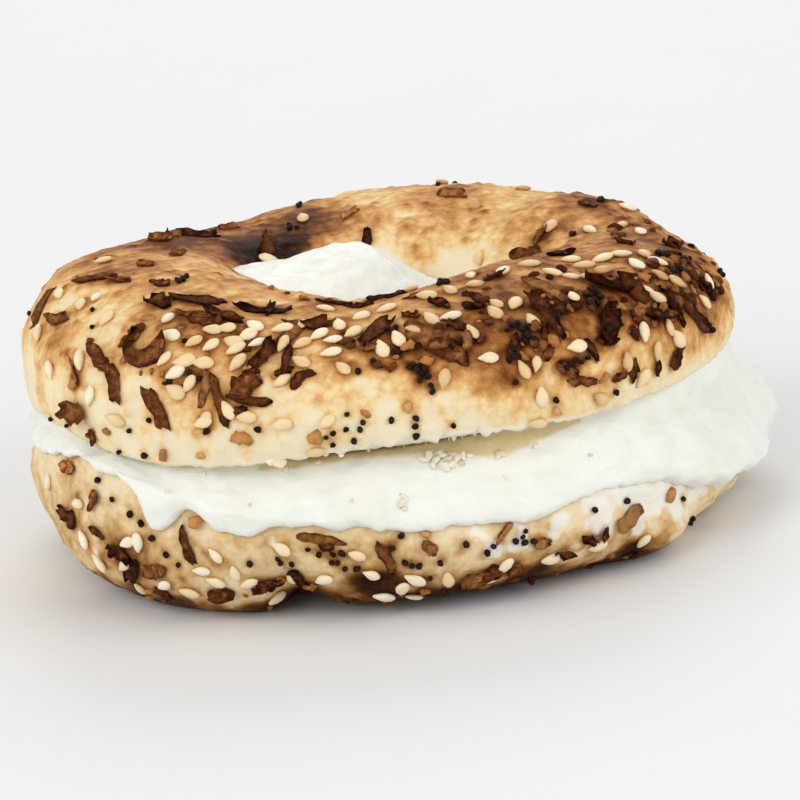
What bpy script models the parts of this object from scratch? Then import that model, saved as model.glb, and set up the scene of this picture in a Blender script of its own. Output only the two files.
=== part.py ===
"""A seeded bagel, sliced level and filled with a thick layer of cream cheese.

Three solids: the lower half, the cheese and the upper half. Seeds and onion flakes are fused to
the crust that they lie on. +X is to the right, +Y away from the viewer and +Z up; the origin is on
the table, under the middle of the whole. Sizes are in metres.
"""

import math
import random

import bmesh
import bpy
from mathutils import Matrix, Vector, noise

MM = 0.001

# The ring that both halves share.
OUTER_RADIUS = 52.3 * MM
HOLE_RADIUS = 15.0 * MM
RING_CENTRE = Vector((-3.4 * MM, -0.7 * MM, 0.0))
OUTLINE_WAVES = ((0.7 * MM, 2, 10.0), (0.6 * MM, 3, 330.0), (0.4 * MM, 5, 30.0))
HOLE_WAVES = ((1.3 * MM, 2, 10.0), (0.7 * MM, 3, 80.0))
UPPER_SHOULDER = 0.86
LOWER_SHOULDER = 0.98
TUCK = math.radians(20.0)
RING_STEPS = 48
CRUST_STEPS = 15

# The upper half: its cut face and its height, which is more or less by these amounts round the
# ring. Each is the amount, its direction in degrees and its spread in radians.
UPPER_CUT = 24.0 * MM
UPPER_CUT_SLOPE = 0.014
UPPER_CUT_SWELLS = ((3.6 * MM, -155.0, 0.36),)
UPPER_HEIGHT = 18.0 * MM
HEIGHT_CHANGES = (
    (3.2 * MM, 196.0, 0.75),
    (-3.6 * MM, 10.0, 0.56),
    (-1.6 * MM, -88.0, 0.5),
    (-3.6 * MM, -155.0, 0.36),
    (1.9 * MM, 28.0, 0.20),
    (-1.3 * MM, 125.0, 0.33),
)
ROUND_SIDE = math.radians(24.0)
ROUNDING = 0.22

# In front the upper half's rim tore away and curls up from its cut face.
TORN_SIDE = math.radians(-86.0)
TORN_SPREAD = 0.42
TORN_LIFT = 2.1 * MM
TORN_DEPTH = 6.0 * MM

# The lower half: the slice ran downwards to the right, and the dough baked flat on its base.
LOWER_CUT = 15.2 * MM
LOWER_CUT_SLOPE = -0.10
LOWER_CUT_SWELLS = ((4.6 * MM, -140.0, 0.33), (2.2 * MM, -50.0, 0.28))
BASE_FLATTENING = 1.075
BASE_WAVES = ((0.05, 4, -160.0),)
FOLDS = ((3.0 * MM, -109.0, 0.075), (0.9 * MM, -103.0, 0.09))
FEET = ((3.4 * MM, -41.0, 0.11), (1.3 * MM, -150.0, 0.25))

# Low knobs in the crust.
KNOB_SPACING = 15.0 * MM
KNOB_HEIGHT = 1.0 * MM
PIMPLE_SPACING = 6.0 * MM
PIMPLE_HEIGHT = 0.35 * MM

# The cheese. Solids that touch keep this gap, and away from the rims the layer is a little hollow.
# It heaps up in the hole, highest towards the left.
GAP = 0.35 * MM
HOLLOW = 0.7 * MM
MOUND_TOP = Vector((-2.0 * MM, 2.0 * MM, 42.2 * MM))
MOUND_RISE = 0.62
MOUND_LEAN = 0.17
MOUND_LEAN_SIDE = math.radians(172.0)
PLUG_RISE = 0.86
PLUG_BELLY = 0.5 * MM

# Where the cheese hangs over the lower rim: the amount, its direction and its spread. Where it
# bulges: the amount, the direction, the spread and how far down its face the bulge is fullest.
HANGS = (
    (5.2 * MM, -128.6, 0.040),
    (3.2 * MM, -125.4, 0.045),
    (2.4 * MM, -114.5, 0.10),
    (1.8 * MM, -20.0, 0.40),
    (-0.8 * MM, -53.0, 0.20),
    (-1.0 * MM, -160.0, 0.34),
)
LEAST_HANG = 0.3 * MM
BULGES = (
    (1.5 * MM, -88.0, 0.75, 0.5),
    (5.6 * MM, 5.0, 0.42, 0.80),
    (4.2 * MM, -27.0, 0.34, 0.82),
    (1.2 * MM, 70.0, 0.6, 0.5),
)
BULGE_LEAN = 0.3
LIP = 0.7 * MM
LIP_START = 0.88
CHEESE_SPLIT = (5, 6, 2, 8, 3, 2, 5, 2)

# Toppings.
SESAME = (3.1 * MM, 1.9 * MM, 1.0 * MM)
SESAME_SPACING = 3.4 * MM
SESAME_REACH = 1.8 * MM
SESAME_UPPER = 92
SESAME_LOWER = 34
FLAKE_SPACING = 8.0 * MM
FLAKE_REACH = 3.6 * MM
FLAKE_UPPER = 34
FLAKE_LOWER = 10
FLAKE_LENGTH = (4.5 * MM, 9.0 * MM)
FLAKE_WIDTH = (1.6 * MM, 2.8 * MM)
FLAKE_THICKNESS = 0.7 * MM


def wave(theta, terms):
    """Sum of cosines round the ring; each term is its amount, its count and its phase in degrees."""
    return sum(size * math.cos(count * theta - math.radians(phase)) for size, count, phase in terms)


def bump(theta, centre, spread):
    """1 at the angle centre, falling smoothly to nothing some way round from it."""
    apart = math.remainder(theta - centre, math.tau)
    return math.exp(-((apart / spread) ** 2))


def smooth(value):
    value = min(max(value, 0.0), 1.0)
    return value * value * (3.0 - 2.0 * value)


def signed_power(value, power):
    return math.copysign(abs(value) ** power, value)


def shoulder(upper):
    return UPPER_SHOULDER if upper else LOWER_SHOULDER


def rise_at(upper, angle):
    """Share of a half's height at an angle round its section: 0 at the cut, 1 at the crest."""
    tuck = math.sin(TUCK) ** shoulder(upper)
    return (signed_power(math.sin(angle), shoulder(upper)) + tuck) / (1.0 + tuck)


def angle_at(upper, rise):
    """The outer side's section angle at that share of the height."""
    tuck = math.sin(TUCK) ** shoulder(upper)
    sine = signed_power(rise * (1.0 + tuck) - tuck, 1.0 / shoulder(upper))
    return math.asin(min(max(sine, -1.0), 1.0))


def ring_point(theta, radius, height):
    return RING_CENTRE + Vector((radius * math.cos(theta), radius * math.sin(theta), height))


def ring_radius(upper, theta, angle):
    outer = OUTER_RADIUS + wave(theta, OUTLINE_WAVES)
    inner = HOLE_RADIUS + wave(theta, HOLE_WAVES)
    reach = signed_power(math.cos(angle), shoulder(upper))
    if upper and reach > 0:
        reach *= 1.0 - ROUNDING * bump(theta, ROUND_SIDE, 0.6) * rise_at(upper, angle)
    radius = (outer + inner) / 2 + (outer - inner) / 2 * reach
    if not upper and reach > 0:
        low = smooth((rise_at(upper, angle) - 0.25) / 0.45) * smooth(reach * 4)
        radius += sum(swell * bump(theta, math.radians(side), spread) for swell, side, spread in FEET) * low
    return radius


def cut_height(upper, theta, radius):
    """Height of the half's cut face over the point at that angle and radius."""
    x = radius * math.cos(theta)
    height = UPPER_CUT + UPPER_CUT_SLOPE * x if upper else LOWER_CUT + LOWER_CUT_SLOPE * x
    for amount, side, spread in UPPER_CUT_SWELLS if upper else LOWER_CUT_SWELLS:
        height += amount * bump(theta, math.radians(side), spread)
    return height


def base_flattening(theta, outside):
    """Depth that the lower half would have below its cut, over the depth that the table leaves it."""
    return BASE_FLATTENING + (wave(theta, BASE_WAVES) if outside else 0.0)


def torn_lift(theta, radius):
    """How far the torn rim has lifted off the plane of the upper cut face."""
    start = ring_radius(True, theta, -TUCK) - TORN_DEPTH
    return TORN_LIFT * bump(theta, TORN_SIDE, TORN_SPREAD) * smooth((radius - start) / TORN_DEPTH)


def plain_point(upper, theta, angle):
    """Point on a half's crust before its knobs."""
    radius = ring_radius(upper, theta, angle)
    cut = cut_height(upper, theta, radius)
    rise = rise_at(upper, angle)
    if not upper:
        outside = math.cos(angle) > 0
        height = max(cut * (1.0 - base_flattening(theta, outside) * rise), 0.0)
        if outside:
            fold = sum(depth * bump(theta, math.radians(side), spread) for depth, side, spread in FOLDS)
            height += fold * smooth(rise) * smooth(math.cos(angle) * 4)
        return ring_point(theta, radius, height)
    height = UPPER_HEIGHT
    for change, side, spread in HEIGHT_CHANGES:
        height += change * bump(theta, math.radians(side), spread)
    lift = torn_lift(theta, radius) * (1.0 - rise) ** 2
    return ring_point(theta, radius, cut + lift + height * rise)


def crust_normal(upper, theta, angle):
    step = 0.01
    along = plain_point(upper, theta + step, angle) - plain_point(upper, theta - step, angle)
    across = plain_point(upper, theta, angle + step) - plain_point(upper, theta, angle - step)
    normal = along.cross(across).normalized()
    return normal if upper else -normal


def knobs(point):
    return (
        KNOB_HEIGHT * noise.noise(point / KNOB_SPACING)
        + PIMPLE_HEIGHT * noise.noise(point / PIMPLE_SPACING + Vector((7.0, 3.0, 1.0)))
    )


def crust_point(upper, theta, angle, off=0.0):
    """Point on a half's crust, or off it by that distance. The cut edge and the base stay plain."""
    point = plain_point(upper, theta, angle)
    share = smooth(rise_at(upper, angle) / 0.25)
    if not upper:
        share *= smooth(point.z / (4.0 * MM))
    return point + crust_normal(upper, theta, angle) * (knobs(point) * share + off)


def make_half(name, upper):
    """A torus whose tube becomes the crust, from cut edge to cut edge, and the cut face."""
    tube_steps = CRUST_STEPS + 2
    major = (OUTER_RADIUS + HOLE_RADIUS) / 2
    bpy.ops.mesh.primitive_torus_add(
        major_segments=RING_STEPS,
        minor_segments=tube_steps,
        major_radius=major,
        minor_radius=(OUTER_RADIUS - HOLE_RADIUS) / 2,
    )
    half = bpy.context.object
    half.name = name
    sweep = (math.pi + 2 * TUCK) / CRUST_STEPS
    for vertex in half.data.vertices:
        x, y, z = vertex.co
        theta = math.atan2(y, x)
        step = round(math.atan2(z, math.hypot(x, y) - major) / math.tau * tube_steps) % tube_steps
        if step <= CRUST_STEPS:
            vertex.co = crust_point(upper, theta, step * sweep - TUCK)
            continue
        radius = ring_radius(upper, theta, -TUCK) - TORN_DEPTH
        vertex.co = ring_point(theta, radius, cut_height(upper, theta, radius))
    mend_normals(half.data)
    return half


def mend_normals(mesh):
    shape = bmesh.new()
    shape.from_mesh(mesh)
    bmesh.ops.recalc_face_normals(shape, faces=shape.faces)
    shape.to_mesh(mesh)
    shape.free()


def cheese_recess(theta):
    """How far inside the upper rim the cheese leaves the upper cut face."""
    front = bump(theta, math.radians(-85.0), 0.75)
    back = bump(theta, math.radians(95.0), 0.6)
    return (1.0 + 5.0 * front + 1.6 * back) * MM


def cheese_hang(theta):
    """How far the cheese hangs below the lower rim, over the crust."""
    ragged = noise.noise(Vector((math.cos(theta), math.sin(theta), 0.0)) * 6.0)
    hang = (1.2 + 0.7 * ragged) * MM
    for amount, side, spread in HANGS:
        hang += amount * bump(theta, math.radians(side), spread)
    return max(hang, LEAST_HANG)


def cheese_bulge(theta, share):
    """How far the cheese stands out between its upper and lower edges."""
    most = 0.0
    for amount, side, spread, fullest in BULGES:
        centre = math.radians(side) + BULGE_LEAN * (share - 0.5)
        profile = math.sin(math.pi * share ** (math.log(0.5) / math.log(fullest))) if share else 0.0
        most = max(most, amount * bump(theta, centre, spread) * max(profile, 0.0) ** 0.8)
    return most + 0.6 * MM * math.sin(math.pi * share)


def cheese_section(theta, split):
    """Points of the cheese's section, from the axis on top, round the outside, to the axis below.

    split gives how many steps each stretch takes: the mound, the hole's wall, the upper cut face,
    the free side, the lower crust that it hangs over, the lower cut face, the hole and the plug."""
    mound, wall, top, side, hang, bed, well, plug = split
    section = []

    rise = MOUND_RISE + MOUND_LEAN * math.cos(theta - MOUND_LEAN_SIDE)
    contact = math.pi - angle_at(True, rise)
    rim = crust_point(True, theta, contact, GAP)
    summit = RING_CENTRE + MOUND_TOP
    for i in range(mound):
        share = i / mound
        point = summit.lerp(rim, share)
        point.z = summit.z + (rim.z - summit.z) * smooth(share)
        section.append(point)

    foot = math.pi + TUCK
    for i in range(wall):
        section.append(crust_point(True, theta, contact + (foot - contact) * i / wall, GAP))

    inner = ring_radius(True, theta, foot) - GAP
    leave = ring_radius(True, theta, -TUCK) - cheese_recess(theta)
    for i in range(top):
        radius = inner + (leave - inner) * i / top
        hollow = HOLLOW * math.sin(math.pi * i / top)
        section.append(ring_point(theta, radius, cut_height(True, theta, radius) - GAP - hollow))

    start = ring_point(theta, leave, cut_height(True, theta, leave) - GAP)
    edge = ring_radius(False, theta, -TUCK)
    depth = cheese_hang(theta) / cut_height(False, theta, edge)
    hang_angle = angle_at(False, min(depth, 0.9) / base_flattening(theta, True))
    end = crust_point(False, theta, hang_angle, GAP)
    outward = ring_point(theta, 1.0, 0.0) - RING_CENTRE
    rim = crust_point(False, theta, -TUCK, GAP)
    turn = (rim - start).length / ((rim - start).length + (end - rim).length)
    draped = side * 3 // 8
    for i in range(side):
        if i < side - draped:
            step = i / (side - draped)
            share = turn * step
            point = start.lerp(rim, step)
        else:
            step = (i - side + draped) / draped
            share = turn + (1.0 - turn) * step
            point = crust_point(False, theta, -TUCK + (hang_angle + TUCK) * step, GAP)
        rounding = max(share - LIP_START, 0.0) / (1.0 - LIP_START)
        lip = LIP * smooth(share / LIP_START) * math.sqrt(1.0 - rounding**2)
        section.append(point + outward * (cheese_bulge(theta, share) + lip))

    for i in range(hang):
        angle = hang_angle + (-TUCK - hang_angle) * i / hang
        section.append(crust_point(False, theta, angle, GAP))

    edge += GAP
    inner = ring_radius(False, theta, foot) - GAP
    for i in range(bed):
        radius = edge + (inner - edge) * i / bed
        hollow = HOLLOW * math.sin(math.pi * i / bed)
        section.append(ring_point(theta, radius, cut_height(False, theta, radius) + GAP + hollow))

    low = math.pi - angle_at(False, PLUG_RISE / base_flattening(theta, False))
    section.append(ring_point(theta, inner, cut_height(False, theta, inner) + GAP))
    for i in range(1, well):
        section.append(crust_point(False, theta, foot + (low - foot) * i / well, GAP))

    sole = crust_point(False, theta, low, GAP)
    sole_radius = (sole - RING_CENTRE).xy.length
    for i in range(plug + 1):
        share = 1.0 - i / plug
        height = sole.z - PLUG_BELLY * (1.0 - share**2)
        section.append(ring_point(theta, sole_radius * share, height))
    return section


def make_cheese(name):
    """A globe whose parallels become the rings of the cheese's section."""
    rings = sum(CHEESE_SPLIT)
    bpy.ops.mesh.primitive_uv_sphere_add(segments=RING_STEPS, ring_count=rings, radius=1.0)
    cheese = bpy.context.object
    cheese.name = name
    sections = {}
    for vertex in cheese.data.vertices:
        x, y, z = vertex.co
        turn = round(math.atan2(y, x) / math.tau * RING_STEPS) % RING_STEPS
        ring = round(math.atan2(math.hypot(x, y), z) / math.pi * rings)
        if ring in (0, rings):
            turn = 0
        if turn not in sections:
            sections[turn] = cheese_section(math.tau * turn / RING_STEPS, CHEESE_SPLIT)
        vertex.co = sections[turn][ring]
    mend_normals(cheese.data)
    return cheese


def is_clear(upper, theta, angle, reach):
    """True where a topping that reaches that far stays on the crust and off the cheese and table."""
    rise = rise_at(upper, angle)
    outside = math.cos(angle) > 0
    if upper:
        mound = MOUND_RISE + MOUND_LEAN * math.cos(theta - MOUND_LEAN_SIDE)
        return rise > (0.02 if outside else mound) + reach / UPPER_HEIGHT
    rim = cut_height(False, theta, ring_radius(False, theta, -TUCK))
    beside = reach / OUTER_RADIUS
    hang = max(cheese_hang(theta + beside * share) for share in (-1.5, -1.0, -0.5, 0.0, 0.5, 1.0, 1.5))
    below_rim = rim * rise * base_flattening(theta, True) - hang
    return outside and below_rim > reach and plain_point(False, theta, angle).z > reach * 0.8


def scatter(draw, upper, count, spacing, reach, taken):
    """Up to count places on the crust as (angle round, angle of the section), each clear of the rest."""
    places = []
    for _ in range(count * 40):
        if len(places) == count:
            break
        theta = draw.uniform(0.0, math.tau)
        angle = draw.uniform(0.0, math.pi)
        point = crust_point(upper, theta, angle)
        share = ring_radius(upper, theta, angle) / OUTER_RADIUS
        if draw.random() > share or not is_clear(upper, theta, angle, reach):
            continue
        if any((point - other).length < spacing for other in taken):
            continue
        taken.append(point)
        places.append((theta, angle))
    return places


def seat(half, upper, theta, angle, turn, sink):
    """Frame on the crust: its z is the crust's normal, its x lies along the crust, turned by turn."""
    _, spot, normal, _ = half.closest_point_on_mesh(crust_point(upper, theta, angle))
    side = Vector((-math.sin(theta), math.cos(theta), 0.0))
    side = (side - normal * side.dot(normal)).normalized()
    side = (Matrix.Rotation(turn, 3, normal) @ side).normalized()
    axes = Matrix((side, normal.cross(side), normal)).transposed().to_4x4()
    axes.translation = spot - normal * sink
    return axes


def add_solid(shape, place, collection, name):
    mesh = bpy.data.meshes.new(name)
    bmesh.ops.transform(shape, matrix=place, verts=shape.verts)
    bmesh.ops.recalc_face_normals(shape, faces=shape.faces)
    shape.to_mesh(mesh)
    shape.free()
    collection.objects.link(bpy.data.objects.new(name, mesh))


def add_sesame(draw, half, upper, theta, angle, collection):
    """A flat drop, blunt at one end and pointed at the other."""
    length, width, thickness = (size * draw.uniform(0.88, 1.12) for size in SESAME)
    seed = bmesh.new()
    bmesh.ops.create_uvsphere(seed, u_segments=6, v_segments=4, radius=0.5)
    for vertex in seed.verts:
        x, y, z = vertex.co
        narrowing = 1.0 - 0.55 * (z + 0.5) ** 1.5
        vertex.co = (z * length, x * width * narrowing, y * thickness * narrowing)
    place = seat(half, upper, theta, angle, draw.uniform(0.0, math.tau), thickness * 0.1)
    add_solid(seed, place, collection, "sesame")


def add_flake(draw, half, upper, theta, angle, collection):
    """A curled strip of dried onion, ragged in width, with its ends lifted off the crust."""
    length = draw.uniform(*FLAKE_LENGTH)
    width = draw.uniform(*FLAKE_WIDTH)
    curl = draw.uniform(-0.25, 0.12) / length
    bend = draw.uniform(-0.6, 0.6) / length
    lean = draw.uniform(-0.5, 0.5)
    steps = 4
    flake = bmesh.new()
    bmesh.ops.create_cube(flake, size=1.0)
    bmesh.ops.subdivide_edges(
        flake,
        edges=[edge for edge in flake.edges if abs(edge.verts[0].co.x - edge.verts[1].co.x) > 0.5],
        cuts=steps - 1,
    )
    ragged = [draw.uniform(0.72, 1.12) for _ in range(steps + 1)]
    ragged[0] *= 0.55
    ragged[-1] *= 0.6
    for vertex in flake.verts:
        along = vertex.co.x * length
        across = vertex.co.y * width * ragged[round((vertex.co.x + 0.5) * steps)]
        lift = curl * along**2 + lean * across**2 / width
        vertex.co = (along, across + bend * along**2, vertex.co.z * FLAKE_THICKNESS + lift)
    place = seat(half, upper, theta, angle, draw.uniform(0.0, math.tau), FLAKE_THICKNESS * 0.2)
    add_solid(flake, place, collection, "onion_flake")


def add_toppings(half, upper, flakes, seeds, start):
    """Scatters the flakes, then the seeds between them, and fuses them all to the crust."""
    draw = random.Random(start)
    collection = bpy.data.collections.new(half.name + "_toppings")
    bpy.context.scene.collection.children.link(collection)
    taken = []
    for theta, angle in scatter(draw, upper, flakes, FLAKE_SPACING, FLAKE_REACH, taken):
        add_flake(draw, half, upper, theta, angle, collection)
    for theta, angle in scatter(draw, upper, seeds, SESAME_SPACING, SESAME_REACH, taken):
        add_sesame(draw, half, upper, theta, angle, collection)
    union = half.modifiers.new("toppings", "BOOLEAN")
    union.operation = "UNION"
    union.operand_type = "COLLECTION"
    union.collection = collection
    bpy.context.view_layer.objects.active = half
    bpy.ops.object.modifier_apply(modifier=union.name)
    for topping in list(collection.objects):
        bpy.data.objects.remove(topping)
    bpy.data.collections.remove(collection)


def paint(obj, name, colour, roughness):
    material = bpy.data.materials.new(name)
    material.use_nodes = True
    shader = material.node_tree.nodes["Principled BSDF"]
    shader.inputs["Base Color"].default_value = (*colour, 1.0)
    shader.inputs["Roughness"].default_value = roughness
    shader.inputs["Metallic"].default_value = 0.0
    obj.data.materials.clear()
    obj.data.materials.append(material)


def main():
    for obj in list(bpy.data.objects):
        bpy.data.objects.remove(obj)
    parts = bpy.data.collections.new("filled_bagel")
    bpy.context.scene.collection.children.link(parts)

    lower = make_half("bagel_bottom", False)
    upper = make_half("bagel_top", True)
    cheese = make_cheese("cream_cheese")
    add_toppings(lower, False, FLAKE_LOWER, SESAME_LOWER, 11)
    add_toppings(upper, True, FLAKE_UPPER, SESAME_UPPER, 23)

    paint(lower, "baked_crust", (0.55, 0.34, 0.15), 0.6)
    paint(upper, "baked_crust_top", (0.60, 0.36, 0.14), 0.55)
    paint(cheese, "cream_cheese", (0.90, 0.90, 0.84), 0.45)
    for obj in (lower, upper, cheese):
        for holder in list(obj.users_collection):
            holder.objects.unlink(obj)
        parts.objects.link(obj)
        obj.data.shade_smooth()
        obj.data.set_sharp_from_angle(angle=math.radians(40.0))


main()
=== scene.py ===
"""The looks of a seeded bagel filled with cream cheese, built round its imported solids.

Everything is in metres in the solids' frame: the origin is on the table under the middle, +X is to
the right, +Y away from the viewer and +Z up.
"""

import math
import random

import bmesh
import bpy
from mathutils import Matrix, Vector, noise
from mathutils.bvhtree import BVHTree
from mathutils.kdtree import KDTree


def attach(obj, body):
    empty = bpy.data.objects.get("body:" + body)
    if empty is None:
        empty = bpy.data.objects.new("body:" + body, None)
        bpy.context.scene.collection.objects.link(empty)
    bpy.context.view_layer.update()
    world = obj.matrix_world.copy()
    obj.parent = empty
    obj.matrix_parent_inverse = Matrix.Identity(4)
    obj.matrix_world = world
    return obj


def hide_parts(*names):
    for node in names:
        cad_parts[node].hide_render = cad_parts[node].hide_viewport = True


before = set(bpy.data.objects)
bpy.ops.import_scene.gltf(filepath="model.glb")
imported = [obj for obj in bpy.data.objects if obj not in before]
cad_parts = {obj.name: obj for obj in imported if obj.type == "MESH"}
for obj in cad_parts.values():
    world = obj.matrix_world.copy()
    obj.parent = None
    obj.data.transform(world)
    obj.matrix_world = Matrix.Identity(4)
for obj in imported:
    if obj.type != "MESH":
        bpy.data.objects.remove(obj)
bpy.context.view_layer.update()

# The camera stands in front, a little above, and is tilted so that the right side comes up. The
# photograph's 800 pixels and its focal length in pixels also say where a point of it lies on the
# food.

MM = 0.001
PHOTO_SIDE = 800
FOCAL_PIXELS = 4019.0
CAMERA_DISTANCE = 0.6
CAMERA_AIM = Vector((-0.5 * MM, 0.0, 18.0 * MM))
CAMERA_RISE = math.radians(15.5)
CAMERA_TILT = math.radians(6.0)

camera_back = Vector((0.0, -math.cos(CAMERA_RISE), math.sin(CAMERA_RISE)))
level_right = Vector((1.0, 0.0, 0.0))
level_up = camera_back.cross(level_right)
camera_right = level_right * math.cos(CAMERA_TILT) - level_up * math.sin(CAMERA_TILT)
camera_up = level_right * math.sin(CAMERA_TILT) + level_up * math.cos(CAMERA_TILT)
camera_place = CAMERA_AIM + camera_back * CAMERA_DISTANCE


def new_object(name, data):
    made = bpy.data.objects.new(name, data)
    bpy.context.scene.collection.objects.link(made)
    return made


lens = bpy.data.cameras.new("camera")
lens.sensor_width = 36.0
lens.lens = FOCAL_PIXELS / PHOTO_SIDE * lens.sensor_width
lens.clip_start = 0.02
lens.clip_end = 20.0
camera = new_object("camera", lens)
turn = Matrix((camera_right, camera_up, camera_back)).transposed().to_4x4()
turn.translation = camera_place
camera.matrix_world = turn
bpy.context.scene.camera = camera


def sight(x, y):
    """Direction in which that point of the photograph is seen."""
    across = camera_right * (x - PHOTO_SIDE / 2) + camera_up * (PHOTO_SIDE / 2 - y)
    return (across / FOCAL_PIXELS - camera_back).normalized()


# The two halves of the bagel: one ring of dough, boiled and baked, then sliced level. The crust
# runs from one cut edge over the crest to the other, and the cut face closes each half. The upper
# half's rim tore in front and lifts; the lower half baked flat on its base.

OUTER_RADIUS = 52.3 * MM
HOLE_RADIUS = 15.0 * MM
RING_CENTRE = Vector((-3.4 * MM, -0.7 * MM, 0.0))
OUTLINE_WAVES = ((0.7 * MM, 2, 10.0), (0.6 * MM, 3, 330.0), (0.4 * MM, 5, 30.0))
HOLE_WAVES = ((1.3 * MM, 2, 10.0), (0.7 * MM, 3, 80.0))
UPPER_SHOULDER = 0.86
LOWER_SHOULDER = 0.98
TUCK = math.radians(20.0)

UPPER_CUT = 24.0 * MM
UPPER_CUT_SLOPE = 0.014
UPPER_CUT_SWELLS = ((3.6 * MM, -155.0, 0.36),)
UPPER_HEIGHT = 18.0 * MM
HEIGHT_CHANGES = (
    (3.2 * MM, 196.0, 0.75),
    (-3.6 * MM, 10.0, 0.56),
    (-1.6 * MM, -88.0, 0.5),
    (-3.6 * MM, -155.0, 0.36),
    (1.9 * MM, 28.0, 0.20),
    (-1.3 * MM, 125.0, 0.33),
)
ROUND_SIDE = 24.0
ROUNDING = 0.22
TORN_SIDE = -86.0
TORN_SPREAD = 0.42
TORN_LIFT = 2.1 * MM
TORN_DEPTH = 6.0 * MM

LOWER_CUT = 15.2 * MM
LOWER_CUT_SLOPE = -0.10
LOWER_CUT_SWELLS = ((4.6 * MM, -140.0, 0.33), (2.2 * MM, -50.0, 0.28))
BASE_FLATTENING = 1.075
BASE_WAVES = ((0.05, 4, -160.0),)
FOLDS = ((3.0 * MM, -109.0, 0.075), (0.9 * MM, -103.0, 0.09))
FEET = ((3.4 * MM, -41.0, 0.11), (1.3 * MM, -150.0, 0.25))

KNOB_SPACING = 15.0 * MM
KNOB_HEIGHT = 1.0 * MM
PIMPLE_SPACING = 6.0 * MM
PIMPLE_HEIGHT = 0.35 * MM
PLAIN_FOOT = 4.0 * MM
WRINKLE_SPACING = 3.4 * MM
WRINKLE_HEIGHT = 0.22 * MM
GRAIN_SPACING = 1.3 * MM
GRAIN_HEIGHT = 0.10 * MM
BLISTER_SPACING = 2.6 * MM
BLISTER_HEIGHT = 0.42 * MM
CRUMB_SPACING = 1.8 * MM
CRUMB_HEIGHT = 0.55 * MM
FINE_CRUMB_SPACING = 0.8 * MM
FINE_CRUMB_HEIGHT = 0.25 * MM
RIM_RAGGED = 0.75 * MM
SMEAR_THICKNESS = 0.25 * MM
FLAT_FOOT = 1.2 * MM
# Changes in bake round the upper crust. The paler row on the left, at 200 degrees, makes up for less
# lamp light on that side and is painted light.
UPPER_BAKE_AND_PAINTED_LIGHT = ((0.03, -90.0, 0.6), (-0.03, 200.0, 0.8), (-0.06, 80.0, 0.6))
BURNT_HEIGHT = 2.5 * MM
BURNT_FADE = 3.2 * MM
BURNT_CHANGES = ((0.6, -95.0, 0.2), (-0.4, -125.0, 0.3), (-0.35, -68.0, 0.2), (-0.95, -20.0, 0.7))
SMEARS = ((1.3, -42.0, 0.42), (0.35, -84.0, 0.35))

RING_STEPS = 600
CRUST_STEPS = 110
CUT_STEPS = 26


def wave(theta, terms):
    """Sum of cosines round the ring; each term is its amount, its count and its phase in degrees."""
    return sum(size * math.cos(count * theta - math.radians(phase)) for size, count, phase in terms)


def bump(theta, side, spread, lean=0.0):
    """1 at side, in degrees round the ring, falling smoothly to nothing some way round from it."""
    apart = math.remainder(theta - (math.radians(side) + lean), math.tau)
    return math.exp(-((apart / spread) ** 2))


def bumps(theta, rows):
    """Sum of bumps; each row is an amount, the side where it is fullest and its spread."""
    return sum(amount * bump(theta, side, spread) for amount, side, spread in rows)


def smooth(value):
    value = min(max(value, 0.0), 1.0)
    return value * value * (3.0 - 2.0 * value)


def rough(point, spacing, shift=(0.0, 0.0, 0.0)):
    """Noise of that spacing; shift tells one pattern from another."""
    return noise.noise(point / spacing + Vector(shift))


def round_noise(theta, count, level):
    """Noise that runs round the ring and closes there."""
    return noise.noise(Vector((math.cos(theta), math.sin(theta), level)) * count)


def signed_power(value, power):
    return math.copysign(abs(value) ** power, value)


def shoulder(upper):
    return UPPER_SHOULDER if upper else LOWER_SHOULDER


def rise_at(upper, angle):
    """Share of a half's height at an angle round its section: 0 at the cut, 1 at the crest."""
    tuck = math.sin(TUCK) ** shoulder(upper)
    return (signed_power(math.sin(angle), shoulder(upper)) + tuck) / (1.0 + tuck)


def angle_at(upper, rise):
    """The outer side's section angle at that share of the height."""
    tuck = math.sin(TUCK) ** shoulder(upper)
    sine = signed_power(rise * (1.0 + tuck) - tuck, 1.0 / shoulder(upper))
    return math.asin(min(max(sine, -1.0), 1.0))


def ring_point(theta, radius, height):
    return RING_CENTRE + Vector((radius * math.cos(theta), radius * math.sin(theta), height))


def ring_radius(upper, theta, angle):
    outer = OUTER_RADIUS + wave(theta, OUTLINE_WAVES)
    inner = HOLE_RADIUS + wave(theta, HOLE_WAVES)
    reach = signed_power(math.cos(angle), shoulder(upper))
    if upper and reach > 0:
        reach *= 1.0 - ROUNDING * bump(theta, ROUND_SIDE, 0.6) * rise_at(upper, angle)
    radius = (outer + inner) / 2 + (outer - inner) / 2 * reach
    if not upper and reach > 0:
        low = smooth((rise_at(upper, angle) - 0.25) / 0.45) * smooth(reach * 4)
        radius += bumps(theta, FEET) * low
    return radius


def cut_height(upper, theta, radius):
    """Height of the half's cut face over the point at that angle and radius."""
    x = radius * math.cos(theta)
    if upper:
        return UPPER_CUT + UPPER_CUT_SLOPE * x + bumps(theta, UPPER_CUT_SWELLS)
    return LOWER_CUT + LOWER_CUT_SLOPE * x + bumps(theta, LOWER_CUT_SWELLS)


def base_flattening(theta, outside):
    """Depth that the lower half would have below its cut, over the depth that the table leaves it."""
    return BASE_FLATTENING + (wave(theta, BASE_WAVES) if outside else 0.0)


def torn_lift(theta, radius):
    """How far the torn rim has lifted off the plane of the upper cut face."""
    start = ring_radius(True, theta, -TUCK) - TORN_DEPTH
    return TORN_LIFT * bump(theta, TORN_SIDE, TORN_SPREAD) * smooth((radius - start) / TORN_DEPTH)


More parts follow.
